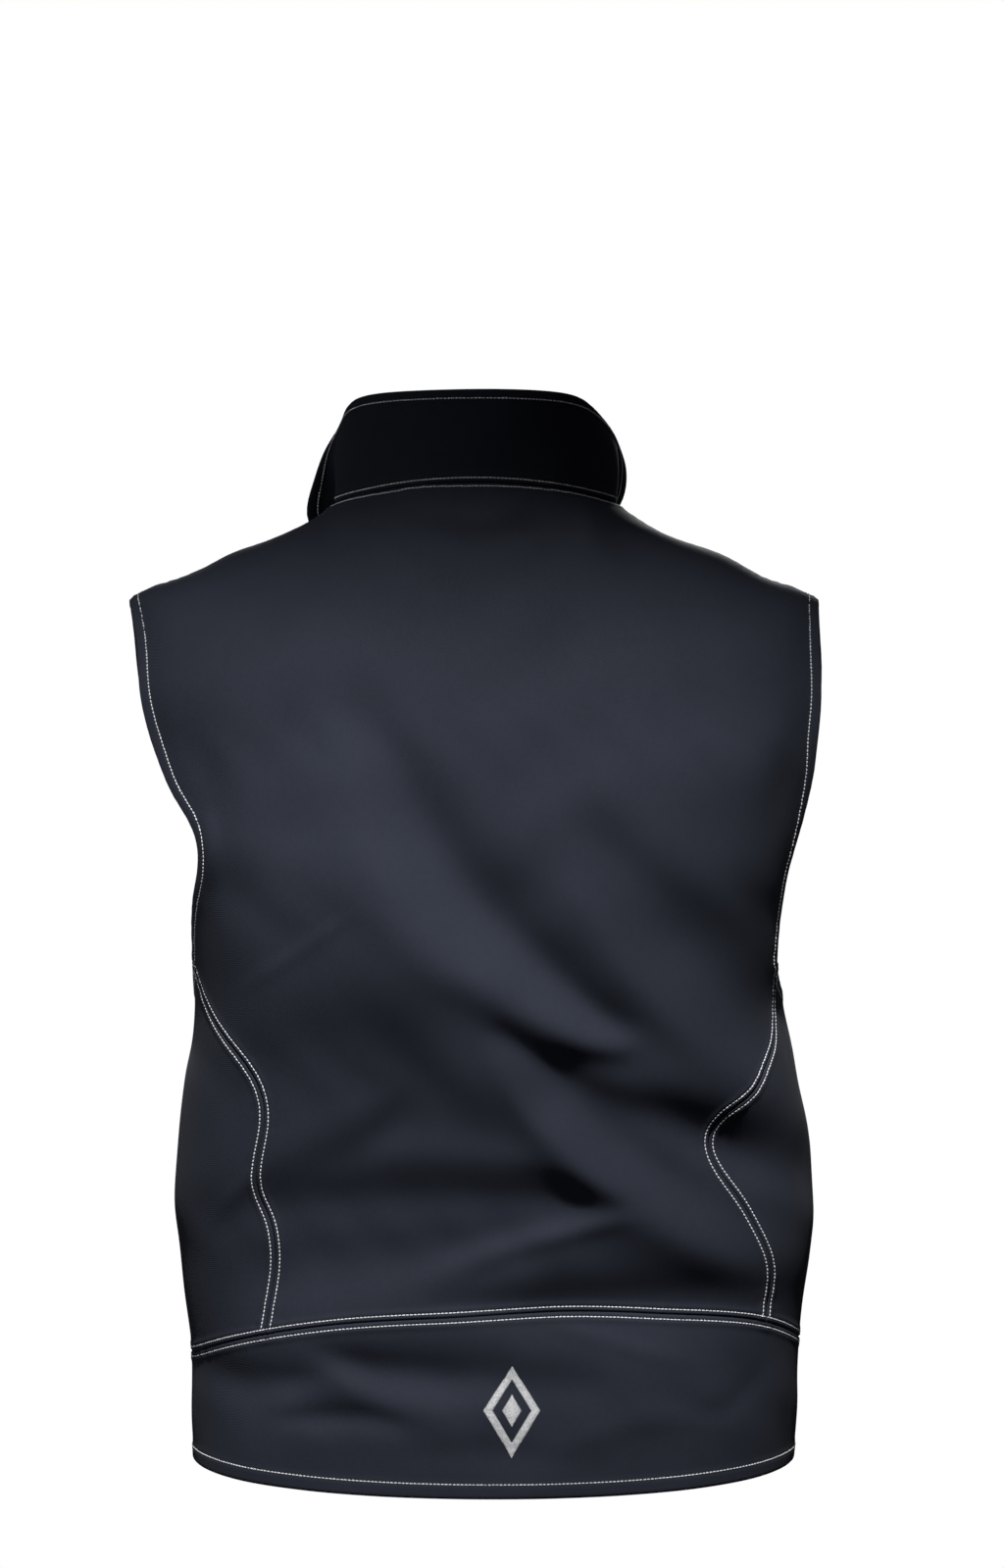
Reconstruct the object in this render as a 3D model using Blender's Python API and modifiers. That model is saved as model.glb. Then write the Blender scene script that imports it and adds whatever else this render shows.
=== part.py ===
"""Western vest: a sleeveless softshell body with a stand collar and a front zip.

The vest keeps the hollow shape it has when worn. +Z is up and the front faces -Y, so
the wearer's left is +X. The origin is the middle of the neck, between the shoulders.
Every cloth piece is an open sheet laid on one form of the worn garment and thickened
inwards. A point of the form is given by an angle around the body and a length up from
the hem. The angle is 0 at the centre back, 90 at the wearer's left and 180 in front.
"""
import math

import bmesh
import bpy
import numpy as np
from mathutils import Matrix, Vector

for old in list(bpy.data.objects):
    bpy.data.objects.remove(old, do_unlink=True)

MM = 0.001

# Cloth and seams
CLOTH_THICKNESS = 1.8 * MM
TAPE_THICKNESS = 1.2 * MM
TAPE_WIDTH = 6.5 * MM
SEAM_GAP = 0.7 * MM

# Lengths up from the hem, on the form
UNDERARM = 324 * MM
SHOULDER_TIP = 545 * MM
NECK = 681 * MM
ZIP_TOP = 592 * MM

# The shoulder corner is full at the shoulder line and softened over this reach beside it
SHOULDER_SOFTNESS = 45 * MM

# Number of places along a fold's line where its height is laid on
FOLD_STEPS = 33

# Angles around the body
SIDE_SEAM = 103
ZIP_LINE = 179.98
NECK_OPENING = 156

# Zip slider and pull tab
SLIDER_WIDTH = 9 * MM
SLIDER_LENGTH = 14 * MM
SLIDER_PLATE = 1.6 * MM
PIN_RADIUS = 0.8 * MM
PIN_HEIGHT = 4.6 * MM
TAB_WIDTH = 6 * MM
TAB_LENGTH = 34 * MM
TAB_THICKNESS = 1.5 * MM
TAB_EYE_RADIUS = 2.6 * MM
TAB_HOLE_RADIUS = 1.3 * MM

# Number of quads along each stretch of seam
BAND_ROWS = 5
SEAM_ROWS = 18
ARMHOLE_ROWS = 14
SHOULDER_ROWS = 6
BACK_COLUMNS = 27
SIDE_COLUMNS = 7
FRONT_COLUMNS = 11
COLLAR_ROWS = 6

# The form, hem to neck, in mm. Each ring is a rounded section of the worn vest.
RING_COLUMNS = (
    "half_width", "centre_x", "side_y", "back_y", "front_y", "side_z", "back_z", "front_z",
    "squareness",
)
RINGS = (
    (206, -2, 0, 118, -118, -657, -668, -664, 0.035),
    (208.5, -3, 0, 110.5, -121, -617, -604, -622, 0.035),
    (208.5, -3, 0, 106, -124, -581, -545, -581, 0.035),
    (215.5, -3, 0, 107.5, -127.5, -528, -506, -528, 0.035),
    (219.5, -3, 0, 110, -130, -489, -474, -490, 0.035),
    (218.7, -2.5, 0, 112.5, -131.5, -453, -444, -453, 0.036),
    (210, -1, 0, 118, -132, -391, -388, -395, 0.038),
    (201.5, 0.5, 0, 124, -131.5, -335, -337, -345, 0.042),
    (210, 2, 0, 130.5, -130, -262, -266, -295, 0.05),
    (230, 3, 0, 129.5, -129, -200, -212, -260, 0.055),
    (245, 4.5, 0, 126.5, -127, -150, -170, -230, 0.05),
    (243, 8, 0, 121, -123.5, -102, -135, -205, 0.045),
    (234, 11, 0, 116.5, -120, -70, -110, -187, 0.04),
    (199, 11, 0, 102, -111, -52, -66, -148, 0.03),
    (170, 11, -2, 92, -104, -37.5, -41, -125, 0.02),
    (140, 10.5, -4, 82, -97, -26, -20, -105, 0.012),
    (118.5, 10, -6, 72, -90, -16, -4, -89, 0.006),
    (96.5, 10, -8, 60, -83, -1, 9, -72, 0),
)

# Seams and edges of the pieces: angle in degrees, length up from the hem in mm
BAND_SEAM_RIGHT = ((-103, 98), (-79, 103), (-57, 107))
BAND_SEAM_BACK = ((-57, 107), (-32, 103), (-12, 100), (5, 96), (22, 95.5), (43, 94))
BAND_SEAM_LEFT = ((43, 94), (62, 92), (85, 91), (103, 92))
BACK_SEAM_LEFT = (
    (43, 94), (41.5, 118), (40, 142), (40.5, 171), (43, 192), (43, 208), (42, 226),
    (41.5, 244), (42.5, 258), (47, 278), (55, 297), (65.5, 319), (75, 345),
)
BACK_SEAM_RIGHT = (
    (-57, 107), (-57, 132), (-55, 149), (-51, 167), (-46.5, 186), (-42, 203), (-39.5, 222),
    (-40, 232), (-43, 245), (-50, 258), (-59, 277), (-69, 296), (-74, 315), (-72.5, 345),
)
ARMHOLE_BACK_LEFT = (
    (75, 345), (71, 362), (63, 384), (57, 400), (54.5, 415), (55.5, 430), (58.5, 444),
    (60.5, 460), (62, 475), (63.5, 493), (65.5, 510), (70, 528), (78, 540), (90, 545),
)
ARMHOLE_BACK_RIGHT = (
    (-72.5, 345), (-72, 360), (-71, 376), (-69.5, 391), (-69, 408), (-68, 430), (-66, 452),
    (-63.5, 475), (-64, 494), (-66, 510), (-70.5, 528), (-78, 540), (-90, 545),
)
ARMHOLE_UNDER = ((75, 345), (79, 335), (85, 328), (93, 324), (103, 324))
ARMHOLE_FRONT = (
    (103, 324), (111, 332), (117, 350), (120.5, 378), (121, 410), (119.5, 440), (116, 470),
    (111, 498), (104, 522), (97, 538), (90, 545),
)

# Collar, from the wearer's left front end round the back to the right front end.
# top_x, top_y and top_z place its top edge; it leaves the neck seam towards a point
# that lies mid_out outside the seam and mid_up above it. All in mm.
COLLAR_COLUMNS = ("angle", "top_x", "top_y", "top_z", "mid_out", "mid_up")
COLLAR = (
    (156, 105, -91, -34, 8, 30),
    (146, 119, -79, -22, 9, 32),
    (136, 129, -63, -7, 9, 34),
    (124, 124, -47, 17, 9, 36),
    (112, 116, -33, 37, 7, 36),
    (98, 105, -15, 53, 4, 36),
    (80, 99, 9, 63, 0, 36),
    (60, 89, 33, 69, 1, 34),
    (30, 52, 57, 71.5, 2, 34),
    (0, 3, 65, 72, 3, 33),
    (-30, -42, 57, 71, 2, 34),
    (-60, -67, 31, 66, 2, 34),
    (-80, -77, 8, 58, 4, 34),
    (-98, -85, -16, 49, 6, 32),
    (-112, -92, -42, 37, 7, 32),
    (-124, -96, -70, 25, 7, 32),
    (-136, -94, -96, 8, 6, 31),
    (-146, -85, -111, -6, 5, 30),
    (-156, -74, -121, -19, 4, 30),
)

# Folds of the worn cloth, each a line of stations: x, z, height out of the form and
# half-width, in mm. Positive heights are ridges, negative ones troughs.
FOLDS_BACK = (
    ((110, -97.5, 0, 20), (100, -162.5, 2, 22), (87, -217.5, 4, 24), (67.5, -266, 7, 22),
     (42, -303.5, 7, 21), (7.5, -328, 7, 18), (-29.5, -350, 6, 14), (-68.5, -367.5, 5, 10),
     (-97.5, -371.5, 0, 8)),
    ((86.5, -123.5, 0, 14), (76, -159, -5, 19), (56.5, -198, -9, 23), (29, -243.5, -12, 25),
     (-5.5, -283.5, -13, 24), (-39, -316.5, -10, 18), (-70.5, -345, -6, 12), (-101.5, -362, 0, 8)),
    ((110, -194.5, 0, 20), (97, -259.5, 4, 28), (67.5, -314.5, 6, 32), (29, -355.5, 6, 30),
     (-13.5, -402, 5, 24), (-49, -441, 5, 18), (-73, -463.5, 1.5, 12), (-91, -478.5, 0, 10)),
    ((-45.5, -214, 0, 16), (-58.5, -263, 2, 16), (-75, -301.5, 4, 15), (-101, -334, 4, 14),
     (-130, -366.5, 3, 14), (-159, -395.5, 0, 12)),
    ((-58.5, -207.5, 0, 14), (-81.5, -240, -5, 18), (-108.5, -275.5, -7, 24), (-146, -314.5, -8, 28),
     (-182, -353.5, -7, 28), (-201, -395.5, 0, 24)),
    ((2.5, -351.5, 0, 8), (-14.5, -364.5, -3.5, 9), (-38, -389, -4, 12), (-65, -413.5, -5, 13),
     (-94.5, -436, -6, 14), (-126.5, -457, -6, 16), (-162.5, -476.5, -6, 18), (-201, -494, 0, 16)),
    ((-29.5, -369.5, 0, 8), (-60, -394.5, -2.5, 11), (-91, -408.5, -5, 14), (-123.5, -417.5, -8, 17),
     (-156, -430.5, -11, 21), (-188, -448.5, -14, 24), (-224, -463.5, 0, 22)),
    ((-65, -403.5, 0, 10), (-97.5, -421.5, -2.5, 13), (-130, -434.5, -3.5, 15),
     (-162.5, -448.5, -3.5, 17), (-194.5, -468, 0, 16)),
    ((3, -369.5, 0, 8), (-13.5, -398, 2, 9), (-34, -425.5, 3, 11), (-60, -450, 4.5, 13),
     (-88, -474.5, 6, 16), (-120, -498, 6, 17), (-156, -513.5, 4, 17), (-194.5, -525, 0, 16)),
    ((-91, -468, 0, 8), (-52, -450, 1, 9), (-0.5, -441.5, 1.5, 12), (64.5, -439, 1.5, 14),
     (129.5, -443.5, 1, 14), (184.5, -459, 0, 12)),
    ((-101, -478.5, 0, 6), (-73, -473.5, -1.5, 9), (-32.5, -471, -3, 13), (19, -470, -5, 17),
     (77.5, -472, -5.5, 19), (142, -477.5, -5, 19), (200.5, -490, 0, 16)),
    ((-101, -480, 0, 6), (-73, -480, -1, 9), (-32.5, -489, -3, 15), (19, -501, -6, 24),
     (77.5, -509.5, -7.5, 31), (142, -514, -7.5, 33), (207, -520, 0, 28)),
    ((-97.5, -480, 0, 6), (-65, -489, 2.5, 7), (-20, -501, 3, 8), (25.5, -517.5, 2.5, 10),
     (71, -533, 0.5, 14), (129.5, -542, 0, 16)),
    ((45, -542, 0, 6), (12.5, -541, -3, 11), (-32.5, -541, -5, 15), (-84.5, -539.5, -7, 18),
     (-136.5, -539.5, -6, 19), (-175.5, -541, -3.5, 18), (-207.5, -543.5, 0, 14)),
    ((-13.5, -560, 0, 14), (-65, -559, -3, 19), (-130, -559, -3.5, 21), (-188, -561.5, 0, 16)),
    ((121.5, -570.5, 0, 7), (100, -579.5, -4, 10), (64.5, -586, -6.5, 14), (19, -590, -6.5, 16),
     (-32.5, -592.5, -4, 16), (-97.5, -595, 0, 12)),
    ((116.5, -570.5, 0, 8), (97, -591.5, 2, 9), (64.5, -607, 2, 10), (25.5, -614.5, 0, 10)),
    ((207, -588.5, 0, 14), (178, -595, -4, 15), (142, -595, -4, 12), (106.5, -587.5, 0, 8)),
    ((148.5, -618.5, 0, 6), (123, -617, -3, 8), (97, -615.5, -4, 9), (74, -617, -3, 8),
     (53, -622.5, 0, 6)),
    ((-156, -570.5, 0, 10), (-175.5, -596.5, -2, 12), (-188, -629, 0, 12)),
    ((226.5, -227, 0, 50), (174.5, -279, 7, 60), (110, -318, 7, 60), (38.5, -356.5, 0, 50)),
    ((213.5, -402, 0, 50), (155, -421.5, -4, 60), (77.5, -431, -4, 60), (-0.5, -428, 0, 40)),
)
FOLDS_FRONT = (
    ((175, -270, 0, 16), (135, -312, 4, 20), (90, -350, 5, 20), (50, -372, 3, 16), (24, -382, 0, 12)),
    ((180, -330, 0, 14), (130, -374, -5, 18), (80, -406, -6, 18), (45, -418, -4, 15),
     (24, -424, 0, 12)),
    ((205, -405, 0, 16), (150, -438, 4, 20), (90, -462, 4, 20), (45, -474, 3, 16), (24, -478, 0, 12)),
    ((205, -455, 0, 16), (150, -492, -4, 20), (90, -512, -5, 20), (45, -524, -3, 16),
     (24, -528, 0, 12)),
    ((-170, -265, 0, 16), (-128, -316, -5, 20), (-80, -352, -6, 20), (-45, -370, -3, 16),
     (-24, -378, 0, 12)),
    ((-180, -322, 0, 14), (-130, -372, 5, 18), (-80, -398, 5, 18), (-45, -411, 3, 15),
     (-24, -417, 0, 12)),
    ((-205, -418, 0, 16), (-150, -454, -4, 20), (-90, -474, -4, 20), (-45, -485, -3, 16),
     (-24, -489, 0, 12)),
    ((-205, -478, 0, 16), (-150, -516, 4, 20), (-90, -538, 4, 20), (-45, -550, 3, 16),
     (-24, -554, 0, 12)),
)

# Finishes: colour in linear RGB, roughness, metallic
MATERIALS = {
    "shell_cloth": ((0.018, 0.021, 0.028), 0.86, 0.0),
    "collar_cloth": ((0.016, 0.018, 0.024), 0.86, 0.0),
    "zip_tape": ((0.012, 0.012, 0.014), 0.8, 0.0),
    "zip_metal": ((0.045, 0.045, 0.05), 0.35, 0.9),
}


def natural_spline(knots, values):
    """A cubic curve through the values, returned as a function of the knots' measure."""
    count = len(knots)
    span = np.diff(knots)
    system = np.eye(count)
    right = np.zeros_like(values)
    for i in range(1, count - 1):
        system[i, i - 1:i + 2] = span[i - 1], 2 * (span[i - 1] + span[i]), span[i]
        slope_after = (values[i + 1] - values[i]) / span[i]
        slope_before = (values[i] - values[i - 1]) / span[i - 1]
        right[i] = 6 * (slope_after - slope_before)
    bend = np.linalg.solve(system, right)

    def evaluate(measure):
        measure = np.asarray(measure, float)
        i = np.clip(np.searchsorted(knots, measure) - 1, 0, count - 2)
        t = (measure - knots[i])[..., None]
        h = span[i][..., None]
        slope = (values[i + 1] - values[i]) / h - h * (2 * bend[i] + bend[i + 1]) / 6
        return values[i] + t * slope + t ** 2 * bend[i] / 2 + t ** 3 * (bend[i + 1] - bend[i]) / (6 * h)

    return evaluate


def section(ring, angle):
    """Points of a ring at the given angles in radians."""
    half, centre_x, side_y, back_y, front_y, side_z, back_z, front_z, square = np.moveaxis(ring, -1, 0)
    cosine = np.cos(angle)
    at_back = cosine > 0
    depth = np.where(at_back, back_y - side_y, side_y - front_y)
    tilt = np.where(at_back, back_z, front_z) - side_z
    x = centre_x + half * ((1 + square) * np.sin(angle) + square * np.sin(3 * angle))
    y = side_y + depth * ((1 + square) * cosine - square * np.cos(3 * angle))
    return np.stack([x, y, side_z + tilt * cosine ** 2], -1)


ring_table = np.array(RINGS, float)
ring_table[:, :8] *= MM
quarter_turns = np.radians([0, 90, 180])
ring_points = np.stack([section(ring_table, np.full(len(RINGS), turn)) for turn in quarter_turns])
ring_steps = np.linalg.norm(np.diff(ring_points, axis=1), axis=-1).mean(axis=0)
ring_heights = np.concatenate([[0], np.cumsum(ring_steps)])
ring_heights *= NECK / ring_heights[-1]
ring_at = natural_spline(ring_heights, ring_table)


def form(angle, up):
    """Points of the smooth form; angle in degrees, up in metres from the hem."""
    angle, up = np.broadcast_arrays(np.radians(angle), np.clip(np.asarray(up, float), 0, NECK))
    ring = ring_at(up)
    reach = np.minimum(SHOULDER_SOFTNESS, np.minimum(up, NECK - up))
    soft = sum(ring_at(up + share * reach) for share in (-1, -0.6, -0.2, 0.2, 0.6, 1)) / 6
    corner = np.sin(angle)[..., None] ** 6
    return section(soft + (ring - soft) * corner, angle)


def form_normal(angle, up):
    """Outward normals of the form."""
    up = np.clip(up, 1 * MM, NECK - 1 * MM)
    around = form(angle + 0.2, up) - form(angle - 0.2, up)
    upward = form(angle, up + 0.5 * MM) - form(angle, up - 0.5 * MM)
    normal = np.cross(upward, around)
    return normal / np.linalg.norm(normal, axis=-1, keepdims=True)


def fold_height(points):
    """Height of the folds above the form at the given points of it."""
    height = np.zeros(points.shape[:-1])
    for folds, facing in ((FOLDS_BACK, 1), (FOLDS_FRONT, -1)):
        shown = np.clip(facing * points[..., 1] / (30 * MM), 0, 1)
        for stations in folds:
            table = np.array(stations, float) * MM
            knots = np.concatenate([[0], np.cumsum(np.linalg.norm(np.diff(table[:, :2], axis=0), axis=1))])
            swell = np.zeros_like(height)
            for x, z, rise, width in natural_spline(knots, table)(np.linspace(0, knots[-1], FOLD_STEPS)):
                gap = (points[..., 0] - x) ** 2 + (points[..., 2] - z) ** 2
                swell += rise / width * np.exp(-gap / width ** 2)
            height += shown * swell * knots[-1] / (FOLD_STEPS - 1) / math.sqrt(math.pi)
    return height


def worn(angle, up):
    """Points of the worn cloth: the form with its folds."""
    points = form(angle, up)
    return points + form_normal(angle, up) * fold_height(points)[..., None]


def even_edge(corners, count, mirror=False):
    """A smooth edge through (angle, mm) points, as evenly spaced (angle, metre) points."""
    table = np.array(corners, float)
    table[:, 1] *= MM
    if mirror:
        table[:, 0] *= -1
    reach = np.linalg.norm(np.diff(form(table[:, 0], table[:, 1]), axis=0), axis=1)
    knots = np.concatenate([[0], np.cumsum(reach)])
    curve = natural_spline(knots, table)(np.linspace(0, knots[-1], 20 * count + 1))
    fine = form(curve[:, 0], curve[:, 1])
    travelled = np.concatenate([[0], np.cumsum(np.linalg.norm(np.diff(fine, axis=0), axis=1))])
    wanted = np.linspace(0, travelled[-1], count + 1)
    return np.stack([np.interp(wanted, travelled, curve[:, k]) for k in (0, 1)], -1)


def join_edges(*edges):
    """Edges end to end as one."""
    return np.concatenate([edges[0]] + [edge[1:] for edge in edges[1:]])


def patch(first, last, bottom, top):
    """A grid of (angle, metre) points that fits its four edges."""
    u = np.linspace(0, 1, len(bottom))[None, :, None]
    w = np.linspace(0, 1, len(first))[:, None, None]
    sides = (1 - u) * first[:, None] + u * last[:, None]
    ends = (1 - w) * bottom[None] + w * top[None]
    corners = (
        (1 - w) * ((1 - u) * bottom[0] + u * bottom[-1]) + w * ((1 - u) * top[0] + u * top[-1])
    )
    return sides + ends - corners


def pull_in(points, gap):
    """Moves the border of a grid of points towards its inside."""
    moved = points.copy()
    for outer, inner in ((0, 1), (-1, -2)):
        for axis in (0, 1):
            here = np.take(points, outer, axis)
            there = np.take(points, inner, axis)
            step = there - here
            step *= gap / np.linalg.norm(step, axis=-1, keepdims=True)
            target = (slice(None),) * axis + (outer,)
            moved[target] += step
    return moved


collection = bpy.data.collections.new("western_vest")
bpy.context.scene.collection.children.link(collection)


def finish_object(name, mesh, slot):
    """Makes the object of a mesh and gives it a material of its own."""
    colour, roughness, metallic = MATERIALS[slot]
    material = bpy.data.materials.new(name + "_" + slot)
    material.use_nodes = True
    shader = material.node_tree.nodes["Principled BSDF"]
    shader.inputs["Base Color"].default_value = (*colour, 1)
    shader.inputs["Roughness"].default_value = roughness
    shader.inputs["Metallic"].default_value = metallic
    material.diffuse_color = (*colour, 1)
    piece = bpy.data.objects.new(name, mesh)
    piece.data.materials.append(material)
    collection.objects.link(piece)
    return piece


def sheet(name, points, slot, thickness):
    """A cloth piece: a grid of points made a sheet and thickened inwards."""
    mesh = bpy.data.meshes.new(name)
    shape = bmesh.new()
    corners = [[shape.verts.new(point) for point in row] for row in points]
    for below, above in zip(corners[:-1], corners[1:]):
        for k in range(len(below) - 1):
            shape.faces.new((below[k], above[k], above[k + 1], below[k + 1]))
    shape.to_mesh(mesh)
    shape.free()
    mesh.shade_smooth()
    piece = finish_object(name, mesh, slot)
    solid = piece.modifiers.new("cloth", "SOLIDIFY")
    solid.thickness = thickness
    solid.offset = -1
    return piece


# Edges shared by neighbouring pieces
seam_left = even_edge(BACK_SEAM_LEFT, SEAM_ROWS)
seam_right = even_edge(BACK_SEAM_RIGHT, SEAM_ROWS)
armhole_left = even_edge(ARMHOLE_BACK_LEFT, ARMHOLE_ROWS)
armhole_right = even_edge(ARMHOLE_BACK_RIGHT, ARMHOLE_ROWS)
band_right = even_edge(BAND_SEAM_RIGHT, SIDE_COLUMNS)
band_back = even_edge(BAND_SEAM_BACK, BACK_COLUMNS)
band_left = even_edge(BAND_SEAM_LEFT, SIDE_COLUMNS)


def upright(angle, low, high, count):
    """An edge that runs straight up the form; angle in degrees, heights in metres."""
    return np.stack([np.full(count + 1, float(angle)), np.linspace(low, high, count + 1)], -1)


def level(start, end, up, count):
    """An edge that runs level round the form between two angles."""
    return np.stack([np.linspace(start, end, count + 1), np.full(count + 1, float(up))], -1)


def beside(edge, width):
    """Moves an edge round the body by a width in metres."""
    reach = np.linalg.norm(form(edge[:, 0] + 1, edge[:, 1]) - form(edge[:, 0], edge[:, 1]), axis=-1)
    return np.stack([edge[:, 0] + width / reach, edge[:, 1]], -1)


def front_edges(side):
    """The outer edge and the zip line of one front; side is 1 on the left, -1 on the right."""
    band_end = (band_left[-1] if side > 0 else band_right[0])[1]
    corner = UNDERARM
    outer = join_edges(
        upright(side * SIDE_SEAM, 0, band_end, BAND_ROWS),
        upright(side * SIDE_SEAM, band_end, corner, SEAM_ROWS),
        even_edge(ARMHOLE_FRONT, ARMHOLE_ROWS, side < 0),
        upright(side * 90, SHOULDER_TIP, NECK, SHOULDER_ROWS),
    )
    rows = len(outer) - 1
    closed = int(round(rows * 0.8))
    line = join_edges(
        upright(side * ZIP_LINE, 0, ZIP_TOP, closed),
        np.linspace((side * ZIP_LINE, ZIP_TOP), (side * NECK_OPENING, NECK), rows - closed + 1),
    )
    return outer, line


def cloth(name, grid, slot="shell_cloth"):
    """A cloth piece on the worn form."""
    points = pull_in(worn(grid[..., 0], grid[..., 1]), SEAM_GAP / 2)
    return sheet(name, points, slot, CLOTH_THICKNESS)


# Back panel
shoulder_left = upright(90, SHOULDER_TIP, NECK, SHOULDER_ROWS)
shoulder_right = upright(-90, SHOULDER_TIP, NECK, SHOULDER_ROWS)
cloth("back_panel", patch(
    join_edges(seam_right, armhole_right, shoulder_right),
    join_edges(seam_left, armhole_left, shoulder_left),
    band_back,
    level(-90, 90, NECK, BACK_COLUMNS),
))

# Side panels, between the curved back seams and the side seams
under_left = even_edge(ARMHOLE_UNDER, SIDE_COLUMNS)
under_right = even_edge(((72.5, 345),) + ARMHOLE_UNDER[1:], SIDE_COLUMNS, True)
cloth("side_panel_left", patch(
    seam_left, upright(SIDE_SEAM, band_left[-1][1], UNDERARM, SEAM_ROWS), band_left, under_left,
))
cloth("side_panel_right", patch(
    upright(-SIDE_SEAM, band_right[0][1], UNDERARM, SEAM_ROWS), seam_right, band_right,
    under_right[::-1],
))

# Hem band, from side seam to side seam
band_top = join_edges(band_right, band_back, band_left)
hem = band_top.copy()
hem[:, 1] = 0
cloth("hem_band", patch(
    upright(-SIDE_SEAM, 0, band_right[0][1], BAND_ROWS),
    upright(SIDE_SEAM, 0, band_left[-1][1], BAND_ROWS),
    hem,
    band_top,
))

# Fronts and the zip line
fronts = {}
for side, name in ((1, "left"), (-1, "right")):
    outer_edge, zip_line = front_edges(side)
    cloth_edge = beside(zip_line, -side * TAPE_WIDTH)
    fronts[side] = (cloth_edge, zip_line)
    bottom_edge = np.linspace(outer_edge[0], cloth_edge[0], FRONT_COLUMNS + 1)
    top_edge = np.linspace(outer_edge[-1], cloth_edge[-1], FRONT_COLUMNS + 1)
    if side > 0:
        grid = patch(outer_edge, cloth_edge, bottom_edge, top_edge)
    else:
        grid = patch(cloth_edge, outer_edge, bottom_edge[::-1], top_edge[::-1])
    cloth("front_" + name, grid)

# Collar
collar_table = np.array(COLLAR[::-1], float)
collar_table[:, 1:] *= MM
collar_at = natural_spline(collar_table[:, 0], collar_table[:, 1:])


def collar_point(angle, rise):
    """Points of the open collar; rise is 0 at the neck seam and 1 at the top edge."""
    angle, rise = np.broadcast_arrays(np.asarray(angle, float), np.asarray(rise, float))
    base = form(angle, NECK)
    shape = collar_at(angle)
    outward = base - (10 * MM, -8 * MM, 0)
    outward[..., 2] = 0
    outward /= np.linalg.norm(outward, axis=-1, keepdims=True)
    middle = base + outward * shape[..., 3:4]
    middle[..., 2] += shape[..., 4]
    t = rise[..., None]
    return (1 - t) ** 2 * base + 2 * t * (1 - t) * middle + t ** 2 * shape[..., :3]


left_end = fronts[1][0][-1, 0]
right_end = fronts[-1][0][-1, 0]
collar_angles = np.concatenate([
    np.linspace(right_end, -90, FRONT_COLUMNS + 1)[:-1],
    np.linspace(-90, 90, BACK_COLUMNS + 1),
    np.linspace(90, left_end, FRONT_COLUMNS + 1)[1:],
])
collar_rises = np.linspace(0, 1, COLLAR_ROWS + 1)
collar_grid = collar_point(collar_angles[None, :], collar_rises[:, None])
sheet("collar", pull_in(collar_grid, SEAM_GAP), "collar_cloth", CLOTH_THICKNESS)

# Zip tapes, up the fronts and on along the collar's front ends
for side, name in ((1, "left"), (-1, "right")):
    cloth_edge, zip_line = fronts[side]
    strip = np.stack([cloth_edge, (cloth_edge + zip_line) / 2, zip_line], 1)
    on_front = worn(strip[..., 0], strip[..., 1]) - form_normal(strip[..., 0], strip[..., 1]) * 0.3 * MM
    on_collar = collar_point(strip[-1, :, 0][None], collar_rises[1:, None])
    points = np.concatenate([on_front, on_collar])
    if side < 0:
        points = points[:, ::-1]
    sheet("zip_tape_" + name, pull_in(points, SEAM_GAP / 2), "zip_tape", TAPE_THICKNESS)


def joined(parts):
    """One mesh of overlapping closed shapes."""
    first = parts[0]
    for other in parts[1:]:
        union = first.modifiers.new("join", "BOOLEAN")
        union.operation = "UNION"
        union.object = other
        bpy.context.view_layer.update()
        evaluated = first.evaluated_get(bpy.context.evaluated_depsgraph_get())
        mesh = bpy.data.meshes.new_from_object(evaluated)
        first.modifiers.clear()
        first.data = mesh
        bpy.data.objects.remove(other, do_unlink=True)
    return first


def box(size, place):
    """A box primitive with its size applied."""
    bpy.ops.mesh.primitive_cube_add(size=1, location=place)
    piece = bpy.context.object
    piece.data.transform(Matrix.Diagonal((*size, 1)))
    return piece


def rod(radius, length, place, sides=24):
    """A cylinder primitive along X."""
    bpy.ops.mesh.primitive_cylinder_add(
        radius=radius, depth=length, vertices=sides, location=place, rotation=(0, math.pi / 2, 0)
    )
    return bpy.context.object


# Slider: its frame lies on the cloth, local Z up the zip and local -Y out of the chest
slider_place = worn(180.0, ZIP_TOP - 4 * MM)
zip_direction = worn(180.0, ZIP_TOP) - worn(180.0, ZIP_TOP - 30 * MM)
lean = math.atan2(zip_direction[1], zip_direction[2])
slider_frame = Matrix.Translation(Vector(slider_place)) @ Matrix.Rotation(-lean, 4, "X")
plate_middle = -(0.5 * MM + SLIDER_PLATE / 2)
pin_y = -(0.5 * MM + SLIDER_PLATE + PIN_HEIGHT - SLIDER_PLATE)
lug_depth = PIN_HEIGHT + PIN_RADIUS
lug_x = TAB_WIDTH / 2 + 0.5 * MM + 0.6 * MM
slider = joined([
    box((SLIDER_WIDTH, SLIDER_PLATE, SLIDER_LENGTH), (0, plate_middle, 0)),
    box((1.2 * MM, lug_depth - 0.4 * MM, 3.2 * MM), (lug_x, -0.7 * MM - lug_depth / 2, 2 * MM)),
    box((1.2 * MM, lug_depth - 0.4 * MM, 3.2 * MM), (-lug_x, -0.7 * MM - lug_depth / 2, 2 * MM)),
    rod(PIN_RADIUS, 2 * lug_x, (0, pin_y, 2 * MM)),
])
slider_mesh = slider.data
slider_mesh.transform(slider_frame @ slider.matrix_world)
bpy.data.objects.remove(slider, do_unlink=True)
slider_mesh.materials.clear()
finish_object("zip_slider", slider_mesh, "zip_metal")

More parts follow.
